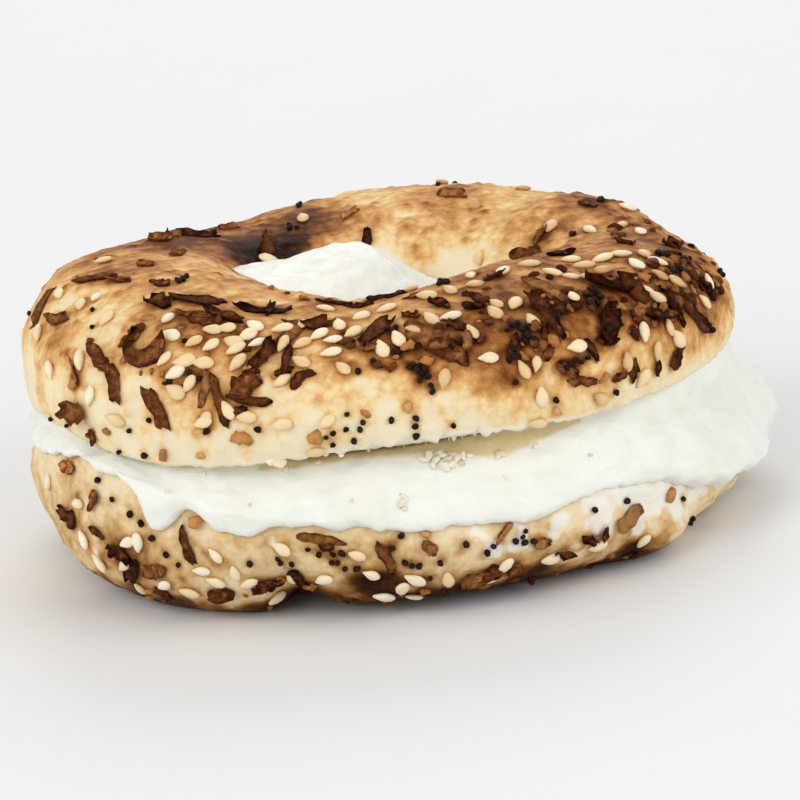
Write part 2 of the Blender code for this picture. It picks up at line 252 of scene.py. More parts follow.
def plain_point(upper, theta, angle):
    """Point on a half's crust before its knobs."""
    radius = ring_radius(upper, theta, angle)
    cut = cut_height(upper, theta, radius)
    rise = rise_at(upper, angle)
    if not upper:
        outside = math.cos(angle) > 0
        height = max(cut * (1.0 - base_flattening(theta, outside) * rise), 0.0)
        if outside:
            height += bumps(theta, FOLDS) * smooth(rise) * smooth(math.cos(angle) * 4)
        return ring_point(theta, radius, height)
    height = UPPER_HEIGHT + bumps(theta, HEIGHT_CHANGES)
    lift = torn_lift(theta, radius) * (1.0 - rise) ** 2
    return ring_point(theta, radius, cut + lift + height * rise)


def crust_normal(upper, theta, angle):
    step = 0.01
    along = plain_point(upper, theta + step, angle) - plain_point(upper, theta - step, angle)
    across = plain_point(upper, theta, angle + step) - plain_point(upper, theta, angle - step)
    normal = along.cross(across).normalized()
    return normal if upper else -normal


def knobs(point):
    pimples = PIMPLE_HEIGHT * rough(point, PIMPLE_SPACING, (7.0, 3.0, 1.0))
    return KNOB_HEIGHT * rough(point, KNOB_SPACING) + pimples


def crust_share(upper, angle, point):
    """How much of its knobs a point of the crust keeps: the cut edge and the base stay plain."""
    share = smooth(rise_at(upper, angle) / 0.25)
    return share if upper else share * smooth(point.z / PLAIN_FOOT)


def crust_point(upper, theta, angle, off=0.0):
    """Point on a half's crust, or off it by that distance."""
    point = plain_point(upper, theta, angle)
    rise = knobs(point) * crust_share(upper, angle, point) + off
    return point + crust_normal(upper, theta, angle) * rise


def skin(point):
    """Height of the crust's own wrinkles and of the blisters that boiling left."""
    wrinkle = 0.5 - abs(rough(point, WRINKLE_SPACING, (2.0, 9.0, 4.0))) * 2.0
    grain = rough(point, GRAIN_SPACING)
    apart = noise.voronoi(point / BLISTER_SPACING)[0][0]
    many = smooth(0.5 + 1.6 * rough(point, 8.0 * MM, (1.0, 1.0, 9.0)))
    blister = smooth(1.0 - apart / 0.55) * many
    return WRINKLE_HEIGHT * wrinkle + GRAIN_HEIGHT * grain + BLISTER_HEIGHT * blister


def crumb(point):
    """Height of torn crumb: open holes of two sizes."""
    coarse = abs(rough(point, CRUMB_SPACING))
    fine = rough(point, FINE_CRUMB_SPACING, (3.0, 3.0, 3.0))
    return CRUMB_HEIGHT * coarse + FINE_CRUMB_HEIGHT * fine


def smear_at(theta, rise, point):
    """How thickly the cheese is smeared on the lower crust, from 0 to 1."""
    fade = bumps(theta, SMEARS) * (1.0 - smooth((rise - 0.1) / 0.6))
    patches = 0.5 + 1.1 * rough(point, 3.6 * MM, (1.0, 4.0, 2.0))
    patches += 0.5 * rough(point, 1.6 * MM)
    return smooth((fade * 1.3 + patches * 0.9 - 1.0) / 0.6)


def bake_at(upper, theta, angle, point):
    """How browned the crust is: 0 is pale dough, 1 is burnt."""
    rise = rise_at(upper, angle)
    patch = rough(point, 11.0 * MM, (4.0, 2.0, 6.0))
    spot = rough(point, 4.0 * MM, (8.0, 5.0, 3.0))
    if upper:
        bake = 0.035 + 0.25 * smooth((rise - 0.18) / 0.6) + 0.05 * smooth((rise - 0.7) / 0.3)
        bake += 0.165 * bump(theta, -15.0, 0.85) * smooth(rise / 0.3)
        # Changes round the upper crust, among them painted light: paler on the left, where the lamps
        # light it less.
        bake += bumps(theta, UPPER_BAKE_AND_PAINTED_LIGHT)
        bake += 0.24 * bump(theta, 140.0, 0.5) * smooth((rise - 0.3) / 0.4)
        if math.cos(angle) < 0:
            bake -= (0.12 + 0.18 * bump(theta, 75.0, 0.8)) * smooth((0.95 - rise) / 0.4)
            bake += 0.30 * bump(theta, 128.0, 0.35) * smooth((patch + 0.3) / 0.5)
        return bake + 0.16 * patch + 0.10 * spot
    burnt = BURNT_HEIGHT * (1.0 + 1.2 * patch + 1.0 * spot + bumps(theta, BURNT_CHANGES))
    low = 1.0 - smooth((point.z - burnt) / BURNT_FADE)
    bake = 0.03 + 0.12 * smooth(rise / 0.5) + 0.58 * low + 0.20 * patch + 0.16 * spot
    return bake - 0.13 * bump(theta, -30.0, 0.5) * (1.0 - 0.6 * low)


def make_half(name, upper):
    """A circle spun into a ring; its tube becomes the crust, from cut edge to cut edge, and the cut."""
    tube_steps = CRUST_STEPS + CUT_STEPS
    tube = (OUTER_RADIUS - HOLE_RADIUS) / 2
    major = (OUTER_RADIUS + HOLE_RADIUS) / 2
    shape = bmesh.new()
    stand = Matrix.Translation((major, 0.0, 0.0)) @ Matrix.Rotation(math.radians(90.0), 4, "X")
    bmesh.ops.create_circle(shape, segments=tube_steps, radius=tube, matrix=stand)
    bmesh.ops.spin(
        shape,
        geom=list(shape.verts) + list(shape.edges),
        cent=(0.0, 0.0, 0.0),
        axis=(0.0, 0.0, 1.0),
        angle=math.tau,
        steps=RING_STEPS,
        use_merge=True,
    )
    bmesh.ops.remove_doubles(shape, verts=shape.verts, dist=0.005 * MM)
    bmesh.ops.recalc_face_normals(shape, faces=shape.faces)
    if not upper:
        bmesh.ops.reverse_faces(shape, faces=shape.faces)
    bake_layer = shape.verts.layers.float.new("bake")
    crumb_layer = shape.verts.layers.float.new("crumb")
    smear_layer = shape.verts.layers.float.new("smear")
    turns = [math.atan2(v.co.z, math.hypot(v.co.x, v.co.y) - major) for v in shape.verts]
    first = min(turned % (math.tau / tube_steps) for turned in turns)
    sweep = (math.pi + 2 * TUCK) / CRUST_STEPS
    kinds = []
    for vertex, turned in zip(shape.verts, turns):
        theta = math.atan2(vertex.co.y, vertex.co.x)
        step = round((turned - first) / math.tau * tube_steps) % tube_steps
        on_crust = step <= CRUST_STEPS
        if on_crust:
            angle = step * sweep - TUCK
            point = plain_point(upper, theta, angle)
        else:
            share = (step - CRUST_STEPS) / CUT_STEPS
            angle = math.pi / 2
            inner = ring_radius(upper, theta, math.pi + TUCK)
            radius = inner + (ring_radius(upper, theta, -TUCK) - inner) * share**0.7
            point = ring_point(theta, radius, cut_height(upper, theta, radius))
            if upper:
                point.z += torn_lift(theta, radius)
        vertex.co = point
        kinds.append((on_crust, theta, angle))
    shape.normal_update()
    moves = []
    for vertex, (on_crust, theta, angle) in zip(shape.verts, kinds):
        point = vertex.co
        if not on_crust:
            vertex[crumb_layer] = 1.0
            moves.append(vertex.normal * crumb(point) * -0.5)
            continue
        rise = rise_at(upper, angle)
        share = crust_share(upper, angle, point)
        move = vertex.normal * (knobs(point) * share + skin(point) * (0.35 + 0.65 * share))
        outside = math.cos(angle) > 0
        torn = bump(theta, -82.0, 0.5) if upper and outside else 0.0
        near_rim = 1.0 - smooth(rise / (0.05 + 0.04 * torn))
        ragged = round_noise(theta, 22.0, 0.0)
        ragged += 0.9 * round_noise(theta, 55.0, 0.3)
        edge = near_rim * (0.25 + torn)
        move += Vector((0.0, 0.0, -RIM_RAGGED * ragged * edge))
        move += vertex.normal * crumb(point) * 0.6 * edge
        if not upper:
            flat = 1.0 - smooth(point.z / FLAT_FOOT)
            move *= 1.0 - flat
            if outside:
                smear = smear_at(theta, rise, point)
                vertex[smear_layer] = smear
                move += vertex.normal * SMEAR_THICKNESS * smear
        vertex[bake_layer] = bake_at(upper, theta, angle, point) + 0.55 * skin(point) / MM * share
        vertex[crumb_layer] = smooth(near_rim * (0.35 + 0.9 * torn) + 0.35 * ragged * near_rim)
        moves.append(move)
    for vertex, move in zip(shape.verts, moves):
        vertex.co = vertex.co + move
        if not upper and vertex.co.z < 0.0:
            vertex.co.z = 0.0
    return place_piece(shape, name)


def shape_object(shape, name):
    """Turns a finished shape into an object."""
    mesh = bpy.data.meshes.new(name)
    shape.to_mesh(mesh)
    shape.free()
    return new_object(name, mesh)


def place_piece(shape, name):
    """Turns a finished shape into a smooth-shaded object that rides on the food."""
    piece = shape_object(shape, name)
    piece.data.shade_smooth()
    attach(piece, "root")
    return piece


class Wire:
    """A value, colour or vector that runs through a material. Arithmetic on values adds Math nodes."""

    def __init__(self, socket):
        self.socket = socket

    def node(self, kind, inputs=None, settings=None, output=0):
        """A new node of that kind. Its settings come first, then values or wires for its inputs."""
        tree = self.socket.id_data
        made = tree.nodes.new(kind)
        for name, value in (settings or {}).items():
            if name == "stops":
                ramp = made.color_ramp
                while len(ramp.elements) < len(value):
                    ramp.elements.new(0.5)
                for element, (position, colour) in zip(ramp.elements, value):
                    element.position = position
                    element.color = (*colour, 1.0)
            else:
                setattr(made, name, value)
        for key, value in (inputs or {}).items():
            if isinstance(value, Wire):
                tree.links.new(value.socket, made.inputs[key])
            else:
                made.inputs[key].default_value = value
        return Wire(made.outputs[output])

    def math(self, operation, *values):
        return self.node("ShaderNodeMath", dict(enumerate(values)), {"operation": operation})

    def __add__(self, other):
        return self.math("ADD", self, other)

    def __sub__(self, other):
        return self.math("SUBTRACT", self, other)

    def __rsub__(self, other):
        return self.math("SUBTRACT", other, self)

    def __mul__(self, other):
        return self.math("MULTIPLY", self, other)

    __radd__ = __add__
    __rmul__ = __mul__

    def between(self, low, high):
        """0 at low and 1 at high, eased at both ends."""
        settings = {"interpolation_type": "SMOOTHSTEP"}
        inputs = {"Value": self, "From Min": low, "From Max": high}
        return self.node("ShaderNodeMapRange", inputs, settings)

    def grain(self, spacing, detail=3.0, roughness=0.55, shift=0.0):
        """Noise of that spacing in metres, on coordinates."""
        place = self
        if shift:
            settings = {"operation": "ADD"}
            place = self.node("ShaderNodeVectorMath", {0: self, 1: (shift, shift, shift)}, settings)
        inputs = {"Vector": place, "Scale": 1.0 / spacing, "Detail": detail, "Roughness": roughness}
        return self.node("ShaderNodeTexNoise", inputs)

    def cells(self, spacing):
        """Distance from the middle of the nearest of many small cells."""
        return self.node("ShaderNodeTexVoronoi", {"Vector": self, "Scale": 1.0 / spacing})

    def colour(self, stops):
        return self.node("ShaderNodeValToRGB", {0: self}, {"stops": stops})

    def mix(self, base, over):
        """The colour base, covered by the colour over where this value is 1."""
        base = base if isinstance(base, Wire) else (*base, 1.0)
        over = over if isinstance(over, Wire) else (*over, 1.0)
        settings = {"data_type": "RGBA", "clamp_factor": True}
        return self.node("ShaderNodeMix", {0: self, 6: base, 7: over}, settings, 2)

    def bumped(self, depth, strength=1.0):
        """The surface's normal with this value as its height, depth metres at 1."""
        return self.node("ShaderNodeBump", {"Height": self, "Distance": depth, "Strength": strength})


def finish(pieces, name, fixed, feeds):
    """Gives pieces a material. fixed holds the shader's own numbers, and feeds what varies."""
    material = bpy.data.materials.new(name)
    material.use_nodes = True
    tree = material.node_tree
    shader = tree.nodes["Principled BSDF"]
    for socket, value in fixed.items():
        shader.inputs[socket].default_value = value
    place = Wire(tree.nodes.new("ShaderNodeTexCoord").outputs["Object"])
    for socket, wire in feeds(place).items():
        tree.links.new(wire.socket, shader.inputs[socket])
    for piece in pieces:
        piece.data.materials.append(material)


def told(place, name):
    """The value that the mesh carries under that name."""
    return place.node("ShaderNodeAttribute", None, {"attribute_name": name}, "Fac")


CRUST_STOPS = (
    (0.0, (0.87, 0.775, 0.545)),
    (0.10, (0.87, 0.735, 0.465)),
    (0.20, (0.86, 0.64, 0.325)),
    (0.30, (0.77, 0.475, 0.198)),
    (0.42, (0.61, 0.305, 0.098)),
    (0.55, (0.40, 0.165, 0.044)),
    (0.70, (0.19, 0.060, 0.013)),
    (0.85, (0.07, 0.021, 0.005)),
    (1.0, (0.024, 0.008, 0.003)),
)
LOWER_STOPS = (
    (0.0, (0.86, 0.71, 0.46)),
    (0.17, (0.75, 0.54, 0.28)),
    (0.33, (0.57, 0.345, 0.135)),
    (0.48, (0.36, 0.17, 0.052)),
    (0.64, (0.19, 0.072, 0.018)),
    (0.82, (0.075, 0.027, 0.008)),
    (1.0, (0.025, 0.010, 0.004)),
)
CRUMB_COLOUR = (0.86, 0.80, 0.64)
SMEAR_COLOUR = (0.88, 0.88, 0.82)


def crust_feeds(stops):
    def feeds(place):
        bake = told(place, "bake") + (place.grain(3.4 * MM, 6.0, 0.7) - 0.5) * 0.43
        bake = bake + (place.grain(0.9 * MM, 4.0, 0.65, 0.3) - 0.5) * 0.28
        bake = bake + (place.cells(1.4 * MM) - 0.4) * 0.14
        crust = bake.colour(stops)
        torn = (told(place, "crumb") + (place.grain(1.4 * MM, 4.0) - 0.5) * 0.6).between(0.35, 0.75)
        colour = torn.mix(crust, CRUMB_COLOUR)
        smear = told(place, "smear") + (place.grain(1.6 * MM, 6.0, 0.7, 0.7) - 0.5) * 1.2
        colour = (smear.between(0.25, 1.2) * 0.85).mix(colour, SMEAR_COLOUR)
        relief = place.grain(0.8 * MM, 4.0, 0.6, 0.1) + place.grain(2.2 * MM, 3.0, 0.5, 0.5) * 0.8
        shine = place.grain(3.0 * MM, 3.0, 0.5, 0.9) * 0.3 + 0.50
        shine = shine - bake.between(0.1, 0.6) * 0.22 + torn * 0.3
        return {"Base Color": colour, "Roughness": shine, "Normal": relief.bumped(0.22 * MM, 0.9)}

    return feeds


upper_crust = make_half("upper_crust", True)
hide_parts("bagel_top")
lower_crust = make_half("lower_crust", False)
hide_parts("bagel_bottom")
CRUST_FIXED = {"Specular IOR Level": 0.03}
finish([upper_crust], "baked_crust_top", CRUST_FIXED, crust_feeds(CRUST_STOPS))
finish([lower_crust], "baked_crust", CRUST_FIXED, crust_feeds(LOWER_STOPS))

# Patches that the photograph shows browner or paler than the crust round them: the pixel of the
# middle, the patch's radius in millimetres and how much browner it is. The first lies on the shaded
# left wall of the hole and is painted shade.
PATCHES = (
    (268, 250, 6.0, 0.42), (215, 225, 6.0, 0.26), (165, 245, 7.0, 0.26), (245, 264, 5.0, 0.30),
    (300, 238, 5.0, 0.34), (718, 312, 6.0, 0.22), (704, 338, 4.5, 0.14), (120, 270, 7.0, 0.22),
    (90, 262, 4.0, 0.22), (195, 280, 8.0, 0.14), (320, 212, 6.0, 0.26), (451, 194, 7.0, 0.22),
    (588, 202, 4.0, 0.28), (415, 262, 4.0, 0.25), (480, 340, 7.0, 0.16), (430, 345, 5.0, 0.22),
    (505, 378, 4.0, 0.24), (540, 300, 8.0, 0.12), (600, 320, 9.0, 0.12), (650, 330, 8.0, 0.08),
    (690, 320, 7.0, 0.10), (480, 255, 8.0, -0.22), (640, 240, 8.0, 0.14), (590, 228, 6.0, -0.10),
    (103, 260, 3.0, -0.20), (90, 330, 7.0, -0.12), (115, 318, 5.0, -0.16), (60, 300, 5.0, -0.12),
    (75, 385, 2.0, 0.25), (40, 390, 3.0, 0.22), (62, 338, 3.0, 0.18), (408, 405, 2.5, 0.20),
    (330, 300, 6.0, 0.16), (200, 310, 7.0, 0.16), (385, 400, 8.0, -0.06), (470, 405, 6.0, -0.12),
    (380, 430, 8.0, -0.05), (72, 518, 3.5, 0.30), (120, 548, 4.0, 0.25), (134, 572, 3.0, 0.30),
    (66, 466, 3.0, 0.20),
)


def skin_tree(piece):
    """A finished piece's skin, to find places on it."""
    copy = bmesh.new()
    copy.from_mesh(piece.data)
    tree = BVHTree.FromBMesh(copy)
    copy.free()
    return tree


crust_trees = (skin_tree(upper_crust), skin_tree(lower_crust))
SEEN_TRIES = 40
SEEN_STEP = 0.01


def seen_spot(x, y, trees=crust_trees):
    """The skin that the photograph shows at that pixel, or else at the next one towards its middle."""
    middle = PHOTO_SIDE / 2
    for pull in range(SEEN_TRIES):
        inwards = 1.0 - pull * SEEN_STEP
        way = sight(middle + (x - middle) * inwards, middle + (y - middle) * inwards)
        hits = []
        for tree in trees:
            point, _, _, far = tree.ray_cast(camera_place, way)
            if point:
                hits.append((far, point, tree))
        if hits:
            _, point, tree = min(hits, key=lambda hit: hit[0])
            return point, tree
    return None, None


spots = [(seen_spot(x, y)[0], radius * MM, change) for x, y, radius, change in PATCHES]
for piece in (upper_crust, lower_crust):
    bake = piece.data.attributes["bake"].data
    for vertex in piece.data.vertices:
        for middle, radius, change in spots:
            apart = (vertex.co - middle).length / radius
            if apart < 1.6:
                bake[vertex.index].value += change * math.exp(-(apart**2) * 1.3)

# The cream cheese: a thick soft slab, spread with a knife. It heaps up in the hole, stands out in
# two lobes on the right and hangs over the lower rim there and at the front's left end.

GAP = 0.35 * MM
HOLLOW = 0.7 * MM
MOUND_TOP = Vector((-2.0 * MM, 2.0 * MM, 42.2 * MM))
MOUND_RISE = 0.62
MOUND_LEAN = 0.17
MOUND_LEAN_SIDE = math.radians(172.0)
PLUG_RISE = 0.86
PLUG_BELLY = 0.5 * MM
RECESS = 1.0 * MM
RECESSES = ((5.0 * MM, -85.0, 0.75), (1.6 * MM, 95.0, 0.6))
HANG = 1.2 * MM
HANG_RAGGED = 0.7 * MM
HANGS = (
    (5.2 * MM, -128.6, 0.040),
    (3.2 * MM, -125.4, 0.045),
    (2.4 * MM, -114.5, 0.10),
    (1.8 * MM, -20.0, 0.40),
    (-0.8 * MM, -53.0, 0.20),
    (-1.0 * MM, -160.0, 0.34),
)
LEAST_HANG = 0.3 * MM
BULGES = (
    (1.5 * MM, -88.0, 0.75, 0.5),
    (5.6 * MM, 5.0, 0.42, 0.80),
    (4.2 * MM, -27.0, 0.34, 0.82),
    (1.2 * MM, 70.0, 0.6, 0.5),
)
BULGE_LEAN = 0.3
SIDE_BULGE = 0.6 * MM
LIP = 0.7 * MM
LIP_START = 0.88
STREAK_SPACING = 2.4 * MM
STREAK_HEIGHT = 0.20 * MM
LUMP_SPACING = 5.5 * MM
LUMP_HEIGHT = 0.50 * MM
CHEESE_TURNS = 420

# How many steps each stretch of the cheese's section takes: the mound, the hole's wall, the upper
# cut face, the free side, the lower crust that it hangs over, the lower cut face, the hole's wall
# below and the plug.
CHEESE_SPLIT = (40, 10, 6, 70, 10, 4, 10, 10)


def cheese_recess(theta):
    """How far inside the upper rim the cheese leaves the upper cut face."""
    return RECESS + bumps(theta, RECESSES)


def cheese_hang(theta):
    """How far the cheese hangs below the lower rim, over the crust."""
    hang = HANG + HANG_RAGGED * round_noise(theta, 6.0, 0.0) + bumps(theta, HANGS)
    return max(hang, LEAST_HANG)


def cheese_bulge(theta, share):
    """How far the cheese stands out between its upper and lower edges."""
    most = 0.0
    for amount, side, spread, fullest in BULGES:
        profile = math.sin(math.pi * share ** (math.log(0.5) / math.log(fullest))) if share else 0.0
        here = bump(theta, side, spread, BULGE_LEAN * (share - 0.5))
        most = max(most, amount * here * max(profile, 0.0) ** 0.8)
    return most + SIDE_BULGE * math.sin(math.pi * share)


def crust_run(upper, theta, start, end, steps, off=GAP):
    """Points off a half's crust, from one section angle up to another."""
    return [crust_point(upper, theta, start + (end - start) * i / steps, off) for i in range(steps)]


def cut_run(upper, theta, start, end, steps):
    """Points off a half's cut face, from one radius up to another, a little hollow between them."""
    run = []
    for i in range(steps):
        radius = start + (end - start) * i / steps
        off = GAP + HOLLOW * math.sin(math.pi * i / steps)
        height = cut_height(upper, theta, radius)
        run.append(ring_point(theta, radius, height - off if upper else height + off))
    return run


def cheese_section(theta):
    """Points of the cheese's section, from the axis on top, round the outside, to the axis below."""
    mound, wall, top, side, hang, bed, well, plug = CHEESE_SPLIT
    section = []
    rise = MOUND_RISE + MOUND_LEAN * math.cos(theta - MOUND_LEAN_SIDE)
    contact = math.pi - angle_at(True, rise)
    rim = crust_point(True, theta, contact, GAP)
    summit = RING_CENTRE + MOUND_TOP
    for i in range(mound):
        share = i / mound
        point = summit.lerp(rim, share)
        point.z = summit.z + (rim.z - summit.z) * smooth(share)
        section.append(point)

    foot = math.pi + TUCK
    section += crust_run(True, theta, contact, foot, wall)
    leave = ring_radius(True, theta, -TUCK) - cheese_recess(theta)
    section += cut_run(True, theta, ring_radius(True, theta, foot) - GAP, leave, top)

    start = ring_point(theta, leave, cut_height(True, theta, leave) - GAP)
    edge = ring_radius(False, theta, -TUCK)
    ragged = round_noise(theta, 16.0, 0.6)
    ragged += 0.6 * round_noise(theta, 42.0, 0.2)
    hanging = max(cheese_hang(theta) + HANG_RAGGED * ragged, LEAST_HANG)
    depth = hanging / cut_height(False, theta, edge)
    hang_angle = angle_at(False, min(depth, 0.9) / base_flattening(theta, True))
    end = crust_point(False, theta, hang_angle, GAP)
    outward = ring_point(theta, 1.0, 0.0) - RING_CENTRE
    rim = crust_point(False, theta, -TUCK, GAP)
    turn = (rim - start).length / ((rim - start).length + (end - rim).length)
    draped = side * 3 // 8
    for i in range(side):
        if i < side - draped:
            step = i / (side - draped)
            share = turn * step
            point = start.lerp(rim, step)
        else:
            step = (i - side + draped) / draped
            share = turn + (1.0 - turn) * step
            point = crust_point(False, theta, -TUCK + (hang_angle + TUCK) * step, GAP)
        rounding = max(share - LIP_START, 0.0) / (1.0 - LIP_START)
        lip = LIP * smooth(share / LIP_START) * math.sqrt(1.0 - rounding**2)
        section.append(point + outward * (cheese_bulge(theta, share) + lip))

    section += crust_run(False, theta, hang_angle, -TUCK, hang, GAP * 0.5)
    inner = ring_radius(False, theta, foot) - GAP
    section += cut_run(False, theta, edge + GAP, inner, bed)
    low = math.pi - angle_at(False, PLUG_RISE / base_flattening(theta, False))
    section.append(ring_point(theta, inner, cut_height(False, theta, inner) + GAP))
    section += crust_run(False, theta, foot, low, well)[1:]

    sole = crust_point(False, theta, low, GAP)
    sole_radius = (sole - RING_CENTRE).xy.length
    for i in range(plug + 1):
        share = 1.0 - i / plug
        height = sole.z - PLUG_BELLY * (1.0 - share**2)
        section.append(ring_point(theta, sole_radius * share, height))
    return section


def spread_relief(theta, point, on_mound):
    """Height of the marks in the cheese: soft lumps, streaks along the knife's way, and pits."""
    if on_mound:
        away = point - RING_CENTRE
        streak_place = Vector((away.x + away.y * 0.6, (away.y - away.x * 0.6) * 0.2, 0.0))
        streak_place /= STREAK_SPACING
    else:
        streak_place = Vector((math.cos(theta) * 9.0, math.sin(theta) * 9.0, point.z / (1.7 * MM)))
    marks = LUMP_HEIGHT * rough(point, LUMP_SPACING, (6.0, 1.0, 2.0))
    marks += STREAK_HEIGHT * noise.noise(streak_place)
    pits = 0.22 * rough(point, 2.0 * MM, (1.0, 7.0, 5.0)) + 0.08 * rough(point, 0.9 * MM)
    return marks + pits * MM


def make_cheese(name):
    """A globe whose parallels become the rings of the cheese's section."""
    mound, wall, top, side = CHEESE_SPLIT[:4]
    rings = sum(CHEESE_SPLIT)
    shape = bmesh.new()
    shape.verts.layers.float.new("stain")
    bmesh.ops.create_uvsphere(shape, u_segments=CHEESE_TURNS, v_segments=rings, radius=1.0)
    sections = [cheese_section(math.tau * i / CHEESE_TURNS) for i in range(CHEESE_TURNS)]
    marks = []
    for vertex in shape.verts:
        x, y, z = vertex.co
        turned = round(math.atan2(y, x) / math.tau * CHEESE_TURNS) % CHEESE_TURNS
        ring = round(math.atan2(math.hypot(x, y), z) / math.pi * rings)
        turned = 0 if ring in (0, rings) else turned
        vertex.co = sections[turned][ring]
        on_mound = smooth((mound - 1.5 - ring) / 3.0)
        first = mound + wall + top
        on_side = smooth((ring - first) / 4.0) * smooth((first + side - ring) / 3.0)
        marks.append((math.tau * turned / CHEESE_TURNS, ring < first, max(on_mound, on_side)))
    bmesh.ops.recalc_face_normals(shape, faces=shape.faces)
    shape.normal_update()
    moves = []
    for vertex, (theta, on_mound, free) in zip(shape.verts, marks):
        moves.append(vertex.normal * spread_relief(theta, vertex.co, on_mound) * free)
    for vertex, move in zip(shape.verts, moves):
        vertex.co = vertex.co + move
    return place_piece(shape, name)


CHEESE_COLOUR = (0.89, 0.90, 0.84)
CHEESE_DEEP = (0.84, 0.85, 0.76)
# Painted shade for the cheese under the torn rim, brownish like crumb in shade.
GAP_SHADE_COLOUR = (0.75, 0.61, 0.34)


def cheese_feeds(place):
    tint = place.grain(6.0 * MM, 4.0, 0.5).between(0.35, 0.7)
    colour = tint.mix(CHEESE_COLOUR, CHEESE_DEEP)
    # Painted shade under the torn rim, where the rim's overhang shades the cheese.
    stain = told(place, "stain") + (place.grain(1.4 * MM, 5.0, 0.65, 0.6) - 0.5) * 0.8
    colour = stain.between(0.15, 1.0).mix(colour, GAP_SHADE_COLOUR)
    relief = place.grain(1.1 * MM, 4.0, 0.55) + place.grain(3.0 * MM, 2.0, 0.5, 0.4) * 0.7
    gloss = place.grain(4.0 * MM, 2.0, 0.5, 0.8) * 0.2 + 0.38
    return {"Base Color": colour, "Roughness": gloss, "Normal": relief.bumped(0.26 * MM, 0.85)}


cheese = make_cheese("cheese")

# Painted shade on the cheese under the torn rim, where the rim's overhang shades it: a brownish strip,
# tinted like crumb seen in shade, along these pixels, each with its half width.
STRIP = (
    (262, 468, 0.4), (284, 463, 0.7), (298, 461, 1.0), (312, 459, 1.1), (326, 458, 1.0), (338, 457, 0.7),
    (350, 454, 0.6), (364, 452, 0.9), (378, 450, 1.1), (392, 449, 1.2), (406, 448, 1.2),
    (420, 447, 1.0), (434, 446, 0.8), (448, 446, 0.9), (462, 446, 1.2), (476, 446, 1.4),
    (490, 445, 1.4), (504, 443, 1.3), (518, 439, 1.1), (532, 435, 0.9), (546, 431, 0.7), (562, 424, 0.6),
    (580, 419, 0.4),
)
STRIP_STEPS = 6
STRIP_REACH = 2.2 * MM


def vertex_finder(piece):
    """A tree of a finished piece's vertices, to find those near a place."""
    near = KDTree(len(piece.data.vertices))
    for vertex in piece.data.vertices:
        near.insert(vertex.co, vertex.index)
    near.balance()
    return near


cheese_tree = skin_tree(cheese)
near = vertex_finder(cheese)
stain = cheese.data.attributes["stain"].data
# Paint the torn rim's shade onto the cheese along the strip.
for (x, y, width), (next_x, next_y, next_width) in zip(STRIP, STRIP[1:]):
    for step in range(STRIP_STEPS):
        share = step / STRIP_STEPS
        spot, _ = seen_spot(x + (next_x - x) * share, y + (next_y - y) * share, (cheese_tree,))
        reach = (width + (next_width - width) * share) * STRIP_REACH
        for _, index, apart in near.find_range(spot, reach):
            stain[index].value = max(stain[index].value, smooth(1.3 * (1.0 - apart / reach)))
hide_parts("cream_cheese")
CHEESE_FIXED = {
    "Subsurface Weight": 0.25,
    "Subsurface Radius": (1.0, 0.9, 0.7),
    "Subsurface Scale": 1.5 * MM,
    "Specular IOR Level": 0.4,
}
finish([cheese], "cream_cheese", CHEESE_FIXED, cheese_feeds)

# Hulled sesame seeds: small flat teardrops of ivory, toasted where they lie high. They were pressed
# into the wet dough before baking, so they lie flat on the crust. Those that the photograph shows
# sharply are named by their pixel and the degrees anticlockwise at which their tips point.

SESAME = Vector((3.1, 1.9, 1.0)) * MM
SESAME_UNEVEN = 0.14
SESAME_TILT = 0.22
SESAME_SUNK = 0.18
SESAME_SEEN = (
    (60, 295, 100), (39, 334, 90), (81, 361, 90), (107, 320, 45), (81, 306, 85), (51, 370, 95),
    (91, 396, 80), (116, 419, -30), (168, 320, 50), (172, 336, -20), (194, 343, 35), (211, 346, 30),
    (213, 331, 0), (165, 360, 45), (185, 362, 10), (176, 373, 30), (190, 384, 60), (176, 392, -30),
    (204, 422, 20), (203, 364, 0), (227, 329, 0), (255, 327, -25), (234, 343, -20), (236, 350, 30),
    (248, 336, 30), (257, 344, 20), (238, 364, 45), (228, 410, -60), (247, 417, 0), (206, 419, 60),
    (282, 382, 35), (301, 363, -25), (325, 310, 0), (303, 326, 80), (282, 330, 10), (302, 345, 30),
    (283, 345, 60), (319, 336, 30), (333, 341, 0), (331, 354, 15), (343, 369, -40), (339, 326, -60),
    (353, 334, 30), (361, 318, 20), (387, 310, 15), (382, 350, -65), (398, 340, -55), (327, 422, 40),
    (282, 424, 10), (315, 451, 20), (427, 297, 5), (411, 291, 0), (450, 291, -20), (474, 286, 15),
    (431, 320, -30), (451, 318, 12), (416, 331, 5), (496, 305, -30), (495, 314, -35), (515, 305, 60),
    (472, 333, -50), (488, 359, 5), (523, 370, -60), (536, 365, 80), (573, 298, -60), (576, 347, 10),
    (532, 322, -50), (444, 380, 80), (541, 396, -80), (529, 266, 0), (552, 274, -10), (571, 278, 0),
    (571, 261, 0), (537, 422, 0), (587, 278, 10), (645, 291, -25), (655, 298, -25), (643, 333, 90),
    (668, 327, -70), (677, 338, -60), (656, 351, 85), (626, 361, -75), (642, 378, 60), (600, 398, -30),
    (703, 302, -45), (603, 260, 10), (103, 262, 10), (96, 299, 60),
    (85, 539, -60), (101, 562, -45), (79, 503, 0), (128, 542, 20), (139, 542, 90), (125, 565, 45),
    (165, 584, 20), (190, 591, -10), (141, 587, -45), (202, 570, -5), (50, 483, 80), (216, 555, -45),
    (235, 572, -70), (249, 582, 25), (216, 581, -20), (282, 548, -30), (357, 555, -15), (371, 574, -20),
    (276, 597, 30), (292, 576, -60), (324, 578, 20), (415, 578, -20), (448, 578, -80), (504, 565, 45),
    (550, 558, 10), (384, 595, 0), (414, 595, 0), (402, 587, 80), (490, 577, 35), (597, 545, 20),
    (643, 540, 50),
)

